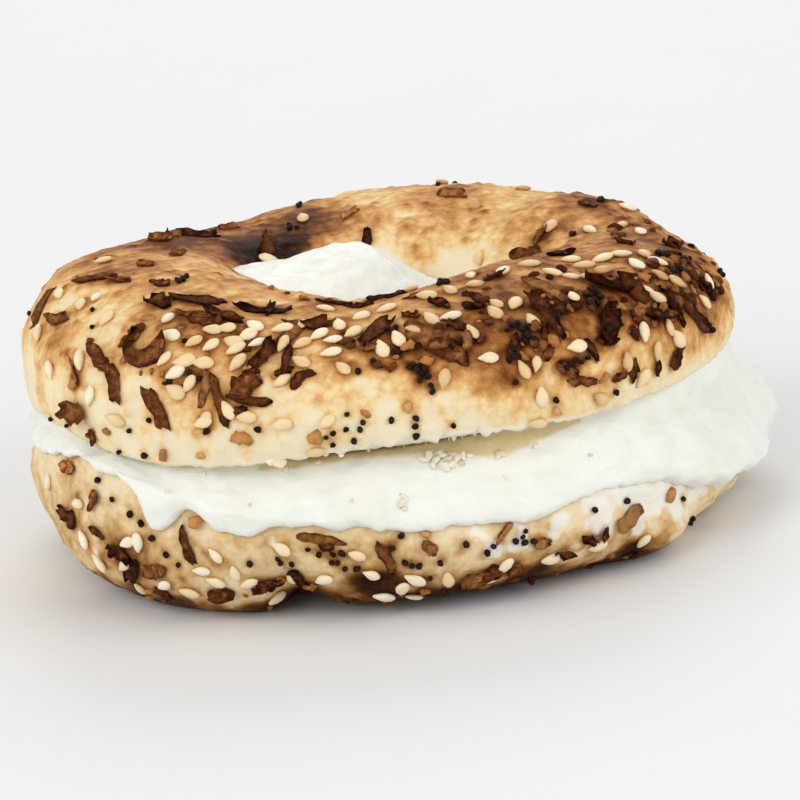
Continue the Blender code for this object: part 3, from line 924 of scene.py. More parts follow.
SESAME_ROOM = 1.3 * MM

# The row of pixels below which the photograph is sharp, how far round a place its facing is taken,
# and what the strewn toppings leave bare: clumps of this spacing, and the crust below this height.
SHARP_BELOW = 285.0
FACING_REACH = 1.2 * MM
CLUMP_SPACING = 9.0 * MM
BARE_FOOT = 2.2 * MM

# What lies on the food already: each thing's place and how far it keeps others off.
taken = []


def seat_on(tree, point):
    """The nearest point of a skin and the way that the skin faces round it."""
    place = tree.find_nearest(point)[0]
    facing = Vector()
    for _, normal, _, _ in tree.find_nearest_range(place, FACING_REACH):
        facing += normal
    return place, facing.normalized()


def seen_seat(x, y, trees=crust_trees):
    """The skin that the photograph shows at that pixel, a place on it and the way it faces."""
    spot, tree = seen_spot(x, y, trees)
    return (tree, *seat_on(tree, spot))


def seen_way(x, y, degrees, normal):
    """Way along a skin that the photograph shows at those degrees, one unit long in the picture."""
    turned = math.radians(degrees)
    way = camera_right * math.cos(turned) + camera_up * math.sin(turned)
    view = sight(x, y)
    way -= view * (way.dot(normal) / min(view.dot(normal), -0.3))
    return way - normal * way.dot(normal)


def photo_shows(point, normal):
    """Whether the photograph shows that spot sharply, so that what lies on it is named by pixel."""
    towards = (camera_place - point).normalized()
    if normal.dot(towards) < 0.15:
        return False
    if any(tree.ray_cast(point + normal * 0.5 * MM, towards)[0] for tree in crust_trees):
        return False
    offset = point - camera_place
    depth = -offset.dot(camera_back)
    row = PHOTO_SIDE / 2 - offset.dot(camera_up) / depth * FOCAL_PIXELS
    return row > SHARP_BELOW


def far_share(point, normal):
    """How much of the strewn toppings a spot keeps: few show at the far side and on the outline."""
    towards = (camera_place - point).normalized()
    facing = normal.dot(towards)
    seen = smooth((facing + 0.05) / 0.2) * smooth((point.y + 4.0 * MM) / (14.0 * MM))
    outline = smooth((0.35 - abs(facing)) / 0.15)
    return 1.0 - max(0.74 * seen, 0.95 * outline)


def strewn(halves, room, bare, inside_from, inside_share):
    """Spots drawn at random on the crust, where nothing lies yet and the photograph is no guide.

    halves gives each half's seed, whether it is the upper one, its tries and its section angles.
    room is how far a spot keeps from others and bare tells how much crust stays bare. Where the
    angle's cosine is below inside_from, towards the hole, only inside_share of the spots is kept."""
    for seed, upper, tries, angles in halves:
        draw = random.Random(seed)
        for _ in range(tries):
            spot = strewn_spot(seed, upper, draw, room, bare, angles, inside_from, inside_share)
            if spot:
                yield spot


def strewn_spot(seed, upper, draw, room, bare, angles, inside_from, inside_share):
    """One such spot, with its skin's facing, its skin and the draw, or None."""
    theta = draw.uniform(0.0, math.tau)
    angle = draw.uniform(*angles)
    chance = draw.random()
    kept_share = 1.0 if math.cos(angle) > inside_from else inside_share
    plain = plain_point(upper, theta, angle)
    if chance > ring_radius(upper, theta, angle) / OUTER_RADIUS * kept_share:
        return None
    if rough(plain, CLUMP_SPACING, (seed, 0.5, 0.5)) < bare or not upper and plain.z < BARE_FOOT:
        return None
    if any((plain - other).length < (room + kept) for other, kept in taken):
        return None
    tree = crust_trees[0 if upper else 1]
    place, normal = seat_on(tree, plain)
    if photo_shows(place, normal) or draw.random() > far_share(place, normal):
        return None
    taken.append((place, room))
    return place, normal, tree, draw


def anywhere(draw):
    """A shift that gives each thing its own noise."""
    return Vector((draw.uniform(0, 60), draw.uniform(0, 60), draw.uniform(0, 60)))


def any_way(normal, draw):
    """A way along a skin that faces along normal, turned round at random."""
    side = normal.cross(Vector((0.31, 0.22, 0.92))).normalized()
    return Matrix.Rotation(draw.uniform(0.0, math.tau), 3, normal) @ side


def many(single, things, make, marks=("tone",)):
    """A shape with a copy of a single small one for each thing, which make then forms.

    marks names the values that each vertex is to carry."""
    mould = shape_object(single, "single")
    row = mould.modifiers.new("row", "ARRAY")
    row.count = len(things)
    row.use_relative_offset = False
    copied = mould.evaluated_get(bpy.context.evaluated_depsgraph_get())
    bunch = bpy.data.meshes.new_from_object(copied)
    bpy.data.objects.remove(mould)
    shape = bmesh.new()
    shape.from_mesh(bunch)
    for mark in marks:
        shape.verts.layers.float.new(mark)
    layers = [shape.verts.layers.float[mark] for mark in marks]
    verts = shape.verts[:]
    each = len(verts) // len(things)
    for i, thing in enumerate(things):
        make(verts[i * each : (i + 1) * each], *layers, *thing)
    return shape


def shape_seed(verts, tone_layer, place, normal, way, draw, tone):
    """One seed: a flattened globe drawn out to a tip, lying on its skin along way."""
    size = SESAME * (1.0 + draw.uniform(-SESAME_UNEVEN, SESAME_UNEVEN))
    tilt = any_way(normal, draw) * draw.uniform(0.0, SESAME_TILT)
    normal = (normal + tilt).normalized()
    side = normal.cross(way).normalized()
    way = side.cross(normal)
    fat = draw.uniform(0.9, 1.12)
    pointed = draw.uniform(0.35, 0.62)
    for vertex in verts:
        across, up, along = vertex.co
        tip = 1.0 - pointed * smooth((along + 0.12) / 0.62)
        spot = way * along * size.x + side * across * size.y * tip * fat
        spot += normal * size.z * (up * (0.6 + 0.4 * tip) + 0.5 - SESAME_SUNK)
        vertex.co = place + spot
        # The tone darkens towards the tip, which toasted, and towards the underside, where it is partly
        # toasted against the crust and partly painted shade beneath the seed.
        vertex[tone_layer] = tone + 0.12 + 0.5 * max(along - 0.2, 0.0) - 0.3 * up


seeds = []
draw = random.Random(3)
for x, y, degrees in SESAME_SEEN:
    _, place, normal = seen_seat(x, y)
    taken.append((place, SESAME_ROOM))
    toasted = draw.uniform(0.05, 0.62) + (0.12 if x > 400 and y < 400 else 0.0)
    toasted -= 0.2 if y > 460 else 0.0
    seeds.append((place, normal, seen_way(x, y, degrees + 180, normal), draw, toasted))
SESAME_STREWN = ((11, True, 900, (-0.1, 2.6)), (12, False, 620, (-0.2, 1.25)))
for place, normal, _, chance in strewn(SESAME_STREWN, 1.25 * MM, -0.12, -0.35, 0.35):
    way = any_way(normal, chance)
    seeds.append((place, normal, way, chance, chance.random() ** 1.3))
single = bmesh.new()
bmesh.ops.create_uvsphere(single, u_segments=10, v_segments=7, radius=0.5)
sesame = place_piece(many(single, seeds, shape_seed), "sesame_seeds")

SESAME_STOPS = (
    (0.0, (0.93, 0.85, 0.66)),
    (0.4, (0.88, 0.69, 0.39)),
    (0.75, (0.75, 0.51, 0.24)),
    (1.0, (0.56, 0.31, 0.12)),
)


def sesame_feeds(place):
    tone = told(place, "tone") + (place.grain(1.2 * MM, 3.0) - 0.5) * 0.35
    relief = place.grain(0.35 * MM, 2.0)
    return {"Base Color": tone.colour(SESAME_STOPS), "Normal": relief.bumped(0.04 * MM, 0.6)}


SESAME_FIXED = {
    "Roughness": 0.42,
    "Specular IOR Level": 0.3,
    "Subsurface Weight": 0.1,
    "Subsurface Scale": 0.6 * MM,
}
finish([sesame], "toasted_sesame", SESAME_FIXED, sesame_feeds)

# Flakes of dried onion: ragged, ribbed strips that baked on and curled, from amber to burnt black.
# Each that the photograph shows is named by the pixel of its middle, the degrees that it runs at,
# its length and width in millimetres, the degrees that it bends through and how pale it stayed.

FLAKE_THICKNESS = 0.28 * MM
FLAKE_FIBRE = 0.7 * MM
FLAKE_CELLS = (8, 3)
FLAKES_SEEN = (
    (142, 360, -5, 9.4, 2.3, 225, 0.33), (102, 360, -55, 4.4, 1.7, 0, 0.40),
    (114, 384, -82, 5.2, 1.8, 10, 0.45), (157, 407, -65, 6.2, 2.0, 0, 0.40),
    (76, 410, -15, 3.9, 2.6, 0, 0.45), (75, 372, -75, 4.5, 0.8, 0, 0.65),
    (92, 436, -80, 2.2, 1.3, 0, 0.30), (158, 305, -20, 3.4, 2.6, 30, 0.05),
    (160, 283, -10, 2.8, 1.6, 0, 0.10), (196, 300, -10, 6.2, 2.6, 0, 0.05),
    (194, 317, -8, 5.0, 1.6, 0, 0.50), (206, 323, -5, 4.5, 1.4, 0, 0.30),
    (225, 318, -20, 5.0, 1.6, 0, 0.15), (95, 278, 10, 6.0, 1.8, 0, 0.30),
    (118, 281, -10, 3.5, 1.6, 0, 0.35), (42, 305, 65, 7.0, 1.8, 0, 0.40),
    (60, 320, 10, 3.2, 1.6, 0, 0.45), (264, 312, -5, 8.0, 1.6, 10, 0.02),
    (270, 309, 70, 3.6, 1.0, 0, 0.02), (264, 355, 50, 5.4, 2.2, 20, 0.20),
    (287, 360, 80, 4.0, 1.6, 0, 0.12), (294, 334, 60, 4.4, 1.8, 160, 0.45),
    (318, 325, 15, 3.8, 2.0, 30, 0.25), (298, 380, 40, 2.6, 1.5, 0, 0.20),
    (284, 372, 20, 2.6, 0.9, 0, 0.25), (220, 400, -75, 8.8, 1.6, -15, 0.35),
    (206, 388, 70, 5.2, 1.3, 15, 0.60), (246, 386, 35, 4.4, 3.4, 60, 0.35),
    (252, 401, -8, 5.8, 1.5, 30, 0.30), (240, 409, 10, 2.0, 1.2, 0, 0.20),
    (375, 332, 42, 5.4, 2.1, 0, 0.12), (332, 303, -8, 5.0, 0.9, 0, 0.05),
    (358, 307, 0, 4.0, 1.9, 0, 0.03), (386, 298, 15, 5.4, 0.8, 0, 0.03),
    (367, 349, 0, 2.4, 1.4, 0, 0.50), (441, 306, -35, 2.8, 1.8, 0, 0.10),
    (411, 298, 10, 2.2, 1.1, 0, 0.40), (411, 317, 0, 2.4, 1.5, 0, 0.25),
    (474, 308, 0, 3.2, 2.5, 0, 0.10), (480, 299, -20, 2.6, 1.4, 0, 0.05),
    (468, 294, 0, 1.8, 1.0, 0, 0.15), (495, 277, 25, 2.8, 1.4, 0, 0.30),
    (456, 326, -25, 3.0, 1.3, 0, 0.15), (425, 340, -22, 6.4, 2.6, 40, 0.48),
    (449, 352, -20, 6.0, 2.2, -50, 0.42), (468, 344, 80, 3.4, 1.4, 150, 0.45),
    (544, 311, -50, 9.8, 2.0, 8, 0.05), (543, 290, -30, 6.8, 2.3, 0, 0.62),
    (547, 353, 60, 2.4, 1.5, 0, 0.25), (565, 369, -20, 3.2, 1.6, 0, 0.30),
    (512, 349, 80, 4.0, 1.4, 0, 0.10), (606, 287, -15, 6.2, 3.4, 40, 0.03),
    (631, 291, -42, 5.4, 2.0, 0, 0.12), (608, 322, 80, 5.2, 3.0, -60, 0.02),
    (606, 339, 10, 2.8, 1.7, 0, 0.08), (591, 349, -60, 3.6, 1.3, 0, 0.08),
    (659, 315, 0, 3.2, 1.9, 0, 0.10), (678, 316, -60, 2.8, 1.4, 0, 0.15),
    (688, 308, -42, 8.8, 2.0, 0, 0.15), (703, 284, -40, 2.6, 1.6, 0, 0.25),
    (675, 358, 50, 2.8, 2.0, 0, 0.20), (656, 367, 80, 2.0, 1.3, 0, 0.20),
    (633, 370, 70, 2.8, 1.7, 0, 0.20), (617, 376, 20, 2.2, 1.3, 0, 0.20),
    (582, 380, 0, 3.6, 1.4, 0, 0.50), (640, 307, 60, 3.6, 1.9, 0, 0.62),
    (160, 240, -10, 3.4, 2.0, 0, 0.55), (146, 265, -10, 2.4, 1.6, 0, 0.40),
    (176, 254, 60, 3.0, 1.8, 0, 0.50), (173, 236, -10, 2.4, 1.4, 0, 0.50),
    # The flake at pixel (268, 248) lies on the shaded left wall of the hole: a dark sheet that is partly
    # painted shade.
    (228, 228, 10, 2.8, 1.4, 0, 0.45), (268, 248, 80, 4.4, 3.0, 30, 0.25),
    (451, 196, 0, 4.0, 1.6, 0, 0.50), (588, 204, -10, 2.8, 2.0, 0, 0.40),
    (625, 243, -30, 2.8, 1.7, 0, 0.20), (672, 247, -40, 3.2, 2.0, 0, 0.25),
    (562, 255, 15, 3.8, 1.6, 0, 0.08), (541, 237, 60, 2.4, 1.5, 0, 0.50),
    (68, 466, 0, 2.6, 1.9, 0, 0.50), (94, 499, 65, 2.8, 1.7, 0, 0.35),
    (68, 515, -40, 3.8, 2.1, 0, 0.15), (98, 531, -38, 2.6, 1.0, 0, 0.25),
    (120, 550, -30, 3.6, 1.7, -60, 0.15), (132, 570, 70, 3.8, 2.1, 0, 0.08),
    (154, 571, 5, 3.5, 2.2, 0, 0.55), (187, 544, -68, 5.8, 1.3, 10, 0.30),
    (321, 538, -8, 6.8, 1.4, -10, 0.50), (327, 546, 0, 2.0, 1.1, 0, 0.25),
    (262, 583, 20, 3.4, 2.1, 0, 0.35), (275, 582, 20, 2.6, 2.2, 0, 0.25),
    (222, 592, 10, 3.4, 2.2, 0, 0.25), (300, 578, -50, 3.8, 1.6, 0, 0.08),
    (386, 556, -58, 4.8, 2.1, 0, 0.38), (429, 546, -30, 2.3, 1.8, 0, 0.60),
    (476, 576, 10, 4.4, 2.3, 0, 0.50), (491, 570, 25, 2.4, 1.7, 0, 0.20),
    (503, 532, 55, 3.6, 0.9, 0, 0.60), (542, 542, 0, 2.2, 1.7, 0, 0.55),
    (514, 567, 60, 2.6, 1.5, 0, 0.35), (628, 517, 48, 5.0, 1.5, 0, 0.78),
    (588, 538, -20, 2.4, 1.4, 0, 0.10), (565, 552, 10, 2.2, 1.5, 0, 0.15),
    (603, 532, 70, 2.0, 1.3, 0, 0.20),
)


def shape_flake(verts, tone_layer, fibre_layer, tree, middle, way, length, width, bend, draw, tone):
    """One flake: a grid laid along an arc of its skin, torn at its ends, ribbed and crumpled."""
    place, normal = seat_on(tree, middle)
    way = (way - normal * way.dot(normal)).normalized()
    side = normal.cross(way)
    apart = anywhere(draw)
    curl = draw.uniform(0.15, 0.9)
    lean = draw.uniform(-0.5, 0.5)
    end_curl = draw.uniform(0.0, 0.3)
    skew = draw.uniform(-0.8, 0.8)
    bend = bend if abs(bend) > 1e-3 else 1e-3
    arc = length / bend
    for vertex in verts:
        along, across = vertex.co.x, vertex.co.y
        ragged = noise.noise(Vector((along * 4.0, math.copysign(2.0, across), 0.0)) + apart)
        nicks = noise.noise(Vector((along * length / FLAKE_FIBRE, across * 1.5, 5.0)) + apart)
        torn_end = noise.noise(Vector((across * 5.0, math.copysign(4.0, along), 0.0)) + apart)
        taper = (1.0 - abs(2 * along) ** 5 * 0.55) * (1.0 + 0.6 * ragged + 0.25 * nicks)
        run = along * (1.0 + 0.4 * torn_end) + across * skew * abs(along) * width / length
        out = across * width * taper
        turned = bend * run
        spot = place + way * (arc * math.sin(turned) - out * math.sin(turned))
        spot += side * (arc * (1.0 - math.cos(turned)) + out * math.cos(turned))
        down = tree.find_nearest(spot)[0]
        rib = math.sin(across * 17.0 + 3.0 * ragged + apart.x)
        crumple = rough(spot, 1.1 * MM, apart)
        lift = FLAKE_THICKNESS * 0.5 + (2 * across + lean) ** 2 * curl * width * 0.40
        lift += max(abs(2 * along) - 0.5, 0.0) ** 2 * end_curl * length
        lift += (0.10 * rib + 0.42 * crumple) * MM
        vertex.co = down + normal * max(lift, FLAKE_THICKNESS * 0.3)
        rim = max(abs(2 * across), abs(2 * along) ** 2) ** 3
        vertex[tone_layer] = tone + 0.31 + 0.08 * rib + 0.34 * crumple - 0.17 * rim
        vertex[fibre_layer] = (out + 0.2 * run) / FLAKE_FIBRE + apart.x


onions = []
draw = random.Random(5)
for x, y, degrees, length, width, bend, tone in FLAKES_SEEN:
    tree, place, normal = seen_seat(x, y)
    way = seen_way(x, y, degrees, normal)
    across = seen_way(x, y, degrees + 90, normal)
    length *= MM * min(way.length, 1.6)
    width *= 0.82 * MM * min(across.length, 1.3)
    taken.append((place, min(length * 0.35, 2.0 * MM)))
    onions.append((tree, place, way, length, width, math.radians(bend), draw, tone))
FLAKES_STREWN = ((21, True, 330, (0.0, 2.7)), (22, False, 150, (-0.1, 1.2)))
for place, normal, tree, chance in strewn(FLAKES_STREWN, 1.7 * MM, -0.18, -0.5, 0.6):
    way = any_way(normal, chance)
    length = chance.uniform(2.2, 7.0) * MM
    width = chance.uniform(1.0, 2.2) * MM
    bend = math.radians(chance.choice((0, 0, 10, -20, 30, 60, -90, 160)))
    onions.append((tree, place, way, length, width, bend, chance, chance.random() ** 1.6 * 0.8))
single = bmesh.new()
bmesh.ops.create_grid(single, x_segments=FLAKE_CELLS[0], y_segments=FLAKE_CELLS[1], size=0.5)
shape = many(single, onions, shape_flake, ("tone", "fibre"))
bmesh.ops.solidify(shape, geom=shape.faces[:], thickness=FLAKE_THICKNESS)
bmesh.ops.recalc_face_normals(shape, faces=shape.faces)
flakes = place_piece(shape, "onion_flakes")

FLAKE_STOPS = (
    (0.0, (0.020, 0.006, 0.004)),
    (0.16, (0.050, 0.013, 0.007)),
    (0.32, (0.115, 0.032, 0.012)),
    (0.47, (0.21, 0.062, 0.021)),
    (0.64, (0.37, 0.113, 0.033)),
    (0.82, (0.60, 0.220, 0.064)),
    (1.0, (0.78, 0.39, 0.135)),
)


def flake_feeds(place):
    fibre = told(place, "fibre") * 6.3 + place.grain(1.6 * MM) * 5.0
    fibre = fibre.math("SINE", fibre)
    tone = told(place, "tone") + (place.grain(0.8 * MM, 5.0, 0.68) - 0.5) * 1.15 + fibre * 0.13
    relief = place.grain(0.5 * MM, 4.0, 0.65) + fibre * 0.35
    shine = place.grain(1.5 * MM) * 0.3 + 0.42
    colour = tone.colour(FLAKE_STOPS)
    return {"Base Color": colour, "Roughness": shine, "Normal": relief.bumped(0.14 * MM, 0.9)}


FLAKE_FIXED = {"Specular IOR Level": 0.04, "Specular Tint": (1.0, 0.75, 0.55, 1.0)}
finish([flakes], "baked_onion", FLAKE_FIXED, flake_feeds)

# Poppy seeds: nearly black, round and not quite even, about one millimetre across. They cling to
# the crust one by one and in little heaps.

POPPY = 0.94 * MM
POPPY_ROOM = 0.4 * MM
POPPY_HEAP = 1.5 * MM
POPPY_SEEN = (
    (93, 311), (93, 328), (185, 342), (200, 379), (170, 381), (181, 387), (190, 373), (130, 430),
    (207, 431), (52, 418), (68, 425), (150, 420), (347, 414), (358, 372), (373, 362), (333, 433),
    (326, 437), (333, 444), (346, 429), (360, 429), (363, 422), (354, 440), (391, 420), (258, 429),
    (398, 353), (414, 366), (417, 370), (422, 374), (428, 377), (420, 381), (431, 386), (432, 392),
    (410, 368), (425, 370), (416, 418), (415, 426), (416, 435), (453, 425), (555, 400), (515, 382),
    (507, 331), (512, 326), (517, 324), (522, 330), (529, 327), (534, 340), (526, 336), (514, 349),
    (513, 357), (518, 340), (575, 360), (570, 364), (581, 362), (587, 358), (566, 368), (594, 301),
    (590, 296), (598, 304), (600, 298), (615, 392), (451, 347), (455, 350), (447, 344), (388, 330),
    (394, 333), (396, 328), (120, 451), (145, 455), (659, 312), (664, 317), (655, 318), (608, 331),
    (612, 336), (604, 335), (708, 325), (704, 320), (711, 330), (576, 372), (560, 362),
    (153, 538), (167, 554), (179, 564), (107, 468), (99, 480), (113, 499), (131, 514), (142, 523),
    (250, 563), (281, 562), (278, 558), (308, 549), (319, 554), (333, 554), (342, 553), (332, 562),
    (338, 562), (345, 568), (357, 568), (292, 563), (401, 536), (392, 548), (405, 562), (412, 565),
    (419, 565), (466, 544), (493, 546), (487, 552), (525, 531), (522, 537), (515, 541), (524, 542),
    (533, 541), (440, 562), (430, 577), (594, 510), (626, 501), (691, 483), (682, 499),
)


def shape_poppy(verts, place, normal, draw):
    """One seed: a globe, a little drawn out and dented, seated on its skin."""
    way = any_way(normal, draw)
    side = normal.cross(way)
    size = draw.uniform(0.74, 1.12)
    for vertex in verts:
        x, y, z = vertex.co * size
        pit = 1.0 + 0.3 * noise.noise(vertex.co / (0.4 * MM) + place * 900.0)
        spot = (way * x * 1.12 + side * y * 0.92 + normal * (z * 0.9)) * pit
        vertex.co = place + spot + normal * POPPY * 0.3


dots = []
draw = random.Random(7)
for x, y in POPPY_SEEN:
    _, place, normal = seen_seat(x, y)
    taken.append((place, POPPY_ROOM))
    dots.append((place, normal, draw))
POPPY_STREWN = ((31, True, 900, (-0.2, 2.7)), (32, False, 700, (-0.2, 1.25)))
for place, normal, tree, chance in strewn(POPPY_STREWN, 0.3 * MM, 0.0, -0.5, 0.5):
    for _ in range(chance.choice((1, 1, 1, 2, 3, 4))):
        way = any_way(normal, chance)
        beside = place + way * chance.uniform(0.0, POPPY_HEAP)
        dots.append((tree.find_nearest(beside)[0], normal, chance))
single = bmesh.new()
bmesh.ops.create_icosphere(single, subdivisions=2, radius=POPPY / 2)
poppy = place_piece(many(single, dots, shape_poppy, ()), "poppy_seeds")

POPPY_STOPS = ((0.3, (0.008, 0.005, 0.004)), (0.7, (0.034, 0.023, 0.020)))


def poppy_feeds(place):
    colour = place.grain(0.5 * MM, 3.0).colour(POPPY_STOPS)
    return {"Base Color": colour, "Normal": place.cells(0.25 * MM).bumped(0.05 * MM, 0.7)}


finish([poppy], "poppy_skin", {"Roughness": 0.5, "Specular IOR Level": 0.05}, poppy_feeds)

# Bits of dried garlic on the crust, toasted amber; pale crumbs of torn dough on the cheese; and
# shreds of it that hang from the torn rim. Each is named by its pixel and its size in millimetres.

GARLIC_ROOM = 0.8 * MM
GARLIC_SEEN = (
    (241, 438, 2.3), (315, 436, 1.9), (408, 407, 1.5), (164, 455, 1.5), (201, 455, 1.2),
    (75, 384, 1.6), (107, 431, 1.4), (425, 533, 1.5), (670, 495, 1.8), (604, 378, 1.5),
    (556, 411, 1.3), (195, 522, 2.0), (365, 413, 1.2),
)
CRUMBS_SEEN = (
    (423, 460, 1.1), (429, 457, 1.3), (436, 461, 1.2), (441, 456, 1.4), (447, 460, 1.5), (452, 455, 1.2),
    (457, 459, 1.4), (463, 456, 1.1), (433, 466, 1.0), (444, 467, 1.5), (451, 465, 1.2), (438, 453, 0.9),
    (462, 464, 0.9), (470, 456, 0.8), (501, 455, 1.2), (497, 458, 0.8), (535, 447, 0.8),
    (404, 497, 1.0), (402, 503, 1.2), (405, 509, 0.8), (318, 463, 0.8), (286, 470, 0.9),
    (505, 478, 0.6), (352, 500, 0.5), (250, 505, 0.5), (590, 455, 0.6), (168, 492, 0.6), (205, 474, 0.6),
)
SHREDS_SEEN = (
    (272, 460, 1.4), (279, 461, 1.8), (368, 450, 0.8), (398, 449, 0.8), (404, 447, 1.0),
    (426, 442, 0.7), (448, 441, 1.0), (454, 441, 0.8), (462, 442, 1.1), (469, 440, 0.8),
    (484, 438, 0.6), (340, 456, 0.6), (318, 459, 0.7),
)


def shape_bit(verts, tone_layer, place, normal, size, draw, tone):
    """One broken bit: a globe pushed into rough corners, a little sunk into its skin."""
    way = any_way(normal, draw)
    side = normal.cross(way)
    apart = anywhere(draw)
    flat = draw.uniform(0.45, 0.75)
    long = draw.uniform(1.0, 1.35)
    for vertex in verts:
        x, y, z = vertex.co * (1.0 + 0.9 * noise.noise(vertex.co * 2.4 + apart))
        vertex.co = place + (way * x * long + side * y / long + normal * (z + 0.25) * flat) * size
        vertex[tone_layer] = tone


def shape_shred(verts, tone_layer, place, normal, size, draw, tone):
    """One torn shred that hangs from the rim: a globe drawn out downwards to a tip."""
    lean = draw.uniform(-0.35, 0.35)
    side = normal.cross(camera_up).normalized()
    for vertex in verts:
        x, y, z = vertex.co
        thin = 1.0 - 0.6 * smooth(z + 0.4)
        spot = side * (x * thin * 1.7 + lean * z) + normal * y * thin * 0.6 - camera_up * z * 0.8
        vertex.co = place + spot * size
        vertex[tone_layer] = tone


def make_bits(name, bits, make=shape_bit):
    single = bmesh.new()
    bmesh.ops.create_icosphere(single, subdivisions=2, radius=0.5)
    return place_piece(many(single, bits, make), name)


bits = []
draw = random.Random(9)
for x, y, size in GARLIC_SEEN:
    _, place, normal = seen_seat(x, y)
    taken.append((place, GARLIC_ROOM))
    bits.append((place, normal, size * MM, draw, draw.uniform(0.3, 0.9)))
GARLIC_STREWN = ((41, True, 150, (-0.1, 2.7)), (42, False, 100, (-0.2, 1.25)))
for place, normal, _, chance in strewn(GARLIC_STREWN, GARLIC_ROOM, -0.3, -0.5, 0.5):
    bits.append((place, normal, chance.uniform(0.9, 2.0) * MM, chance, chance.random()))
garlic = make_bits("garlic_bits", bits)

GARLIC_STOPS = ((0.0, (0.76, 0.55, 0.26)), (0.5, (0.56, 0.24, 0.05)), (1.0, (0.26, 0.075, 0.012)))


def bit_feeds(stops, spacing, uneven, fine, depth):
    """Looks of broken bits: mottled at one spacing, rough at a finer one, to that depth."""

    def feeds(place):
        tone = told(place, "tone") + (place.grain(spacing, 4.0) - 0.5) * uneven
        return {"Base Color": tone.colour(stops), "Normal": place.grain(fine).bumped(depth, 0.8)}

    return feeds


garlic_feeds = bit_feeds(GARLIC_STOPS, 0.8 * MM, 0.6, 0.4 * MM, 0.06 * MM)
finish([garlic], "toasted_garlic", {"Roughness": 0.38}, garlic_feeds)

bits = []
draw = random.Random(10)
for x, y, size in CRUMBS_SEEN:
    _, place, normal = seen_seat(x, y, (cheese_tree, *crust_trees))
    bits.append((place, normal, size * MM, draw, draw.uniform(0.0, 1.0)))
crumbs = make_bits("crumbs", bits)
bits = []
for x, y, size in SHREDS_SEEN:
    _, place, normal = seen_seat(x, y, crust_trees[:1])
    size *= 0.95 * MM
    bits.append((place - camera_up * size * 0.2, normal, size, draw, draw.uniform(0.5, 0.9)))
shreds = make_bits("torn_shreds", bits, shape_shred)

CRUMB_STOPS = ((0.0, (0.88, 0.87, 0.79)), (0.6, (0.87, 0.82, 0.66)), (1.0, (0.80, 0.64, 0.40)))
crumb_feeds = bit_feeds(CRUMB_STOPS, 0.8 * MM, 0.6, 0.4 * MM, 0.1 * MM)
finish([crumbs, shreds], "bread_crumb", {"Roughness": 0.8}, crumb_feeds)

# Scorched crumbs of onion and garlic, too small to name one by one. They are thickest on the crest
# in front and on the right, and a crust of them baked on round the foot of the lower half.

SCORCHED_SIZE = (0.6 * MM, 1.9 * MM)
SCORCHED_ROOM = 0.3 * MM
SCORCHED_APART = 0.35 * MM
SCORCHED_FOOT = 0.8 * MM
SCORCHED_HALVES = (
    (True, 1150, (-150.0, 30.0), (0.48, 1.0)),
    (False, 900, (-180.0, 180.0), (0.68, 1.0)),
)
SCORCHED_UPPER = ((0.72, -35.0, 0.6),)
SCORCHED_LOWER = ((-0.3, -25.0, 0.6), (-0.25, -135.0, 0.3))


def scorched_spots():
    """Places among the other toppings, each with its facing, a size and the draw."""
    draw = random.Random(51)
    for upper, tries, thetas, rises in SCORCHED_HALVES:
        tree = crust_trees[0 if upper else 1]
        for _ in range(tries):
            theta = math.radians(draw.uniform(*thetas))
            rise = draw.uniform(*rises)
            if upper and rise < 0.52 + 0.2 * bump(theta, -95.0, 0.5):
                continue
            angle = angle_at(upper, rise)
            if upper and theta < math.radians(-20.0) and draw.random() < 0.3:
                angle = math.pi - angle
            plain = plain_point(upper, theta, angle)
            many_here = 0.6 + bumps(theta, SCORCHED_LOWER)
            if upper:
                many_here = 0.18 + bumps(theta, SCORCHED_UPPER)
            many_here += 1.2 * rough(plain, 5.0 * MM, (3.0, 8.0, 1.0))
            size = draw.uniform(0.0, 1.0) ** 1.5
            if draw.random() > many_here or not upper and plain.z < SCORCHED_FOOT:
                continue
            if any((plain - other).length < (SCORCHED_APART + 0.75 * kept) for other, kept in taken):
                continue
            place, normal = seat_on(tree, plain)
            outline = 1.0 - smooth(abs(normal.dot((camera_place - place).normalized())) / 0.4)
            if draw.random() < outline:
                continue
            least, most = SCORCHED_SIZE
            yield place, normal, least + (most - least) * size, draw


bits = []
for place, normal, size, draw in scorched_spots():
    bits.append((place, normal, size, draw, draw.random()))
    taken.append((place, SCORCHED_ROOM))
scorched = make_bits("scorched_crumbs", bits)

SCORCHED_STOPS = ((0.0, (0.026, 0.008, 0.004)), (0.5, (0.14, 0.041, 0.012)), (1.0, (0.52, 0.22, 0.065)))
scorched_feeds = bit_feeds(SCORCHED_STOPS, 0.6 * MM, 0.8, 0.3 * MM, 0.1 * MM)
finish([scorched], "scorched_onion", {"Roughness": 0.6, "Specular IOR Level": 0.04}, scorched_feeds)

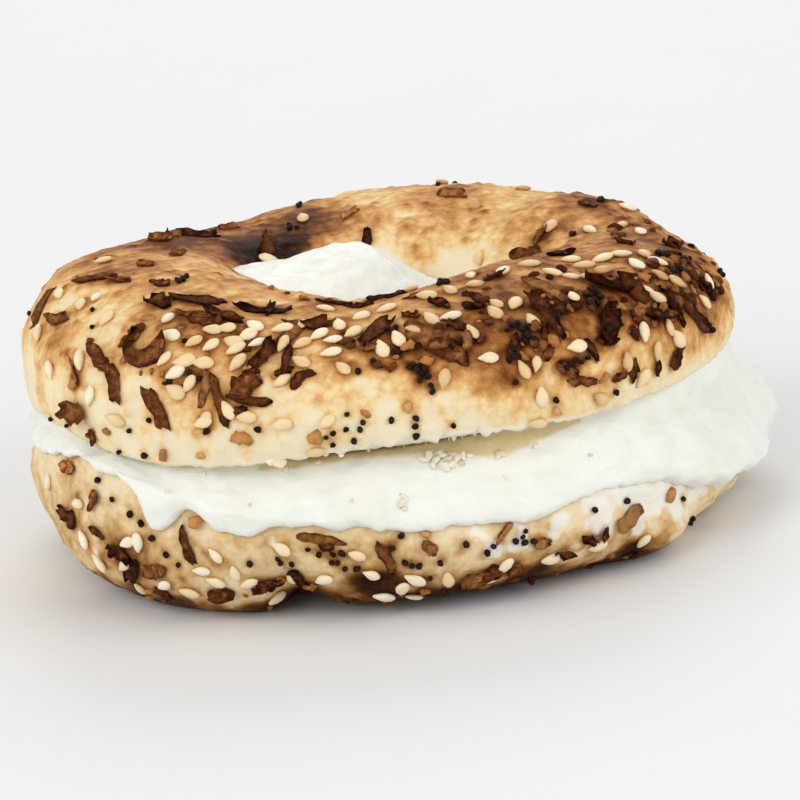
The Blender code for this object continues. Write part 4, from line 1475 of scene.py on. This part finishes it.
# The crust is darker round every topping: partly real browning where the topping held the heat
# against it, and partly painted shade where it shades the crust it sits on, a small patch each.
BROWNING_AND_CONTACT_SHADE = 0.2
BROWNING_AND_SHADE_REACH = 1.3 * MM
for piece, tree in zip((upper_crust, lower_crust), crust_trees):
    bake = piece.data.attributes["bake"].data
    near = vertex_finder(piece)
    for place, room in taken:
        for _, index, apart in near.find_range(place, room + BROWNING_AND_SHADE_REACH):
            bake[index].value += BROWNING_AND_CONTACT_SHADE * smooth(1.0 - apart / (room + BROWNING_AND_SHADE_REACH))

# The table, the soft light round it and the tones of the picture.

FLOOR_COLOUR = (0.855, 0.858, 0.862)
FLOOR_WORN = (0.84, 0.843, 0.847)
FLOOR_REACH = 6.0
ROOM_LIGHT = 0.48

shape = bmesh.new()
bmesh.ops.create_grid(shape, x_segments=1, y_segments=1, size=FLOOR_REACH)
floor = shape_object(shape, "table")


def floor_feeds(place):
    colour = place.grain(40.0 * MM, 2.0).mix(FLOOR_COLOUR, FLOOR_WORN)
    return {"Base Color": colour}


finish([floor], "pale_table", {"Roughness": 0.8}, floor_feeds)

world = bpy.data.worlds.new("pale_room")
bpy.context.scene.world = world
world.use_nodes = True
room_light = world.node_tree.nodes["Background"].inputs
room_light["Color"].default_value = (1.0, 1.0, 1.0, 1.0)
room_light["Strength"].default_value = ROOM_LIGHT

LIGHTS = (
    ("window", (-0.6, -0.85, 0.75), 0.75, 5.2, (1.0, 0.99, 0.975)),
    ("left", (-1.05, -0.1, 0.55), 0.7, 2.6, (1.0, 0.99, 0.97)),
    ("fill", (0.85, -0.5, 0.5), 0.8, 4.5, (1.0, 1.0, 1.0)),
    ("back", (0.1, 0.9, 0.8), 0.7, 4.4, (1.0, 1.0, 1.0)),
)
for name, place, size, power, tone in LIGHTS:
    lamp = bpy.data.lights.new(name, "AREA")
    lamp.size = size
    lamp.energy = power
    lamp.color = tone
    light = new_object(name, lamp)
    light.location = place
    light.rotation_mode = "QUATERNION"
    light.rotation_quaternion = (Vector(place) - CAMERA_AIM).to_track_quat("Z", "Y")

bpy.context.scene.view_settings.view_transform = "Standard"
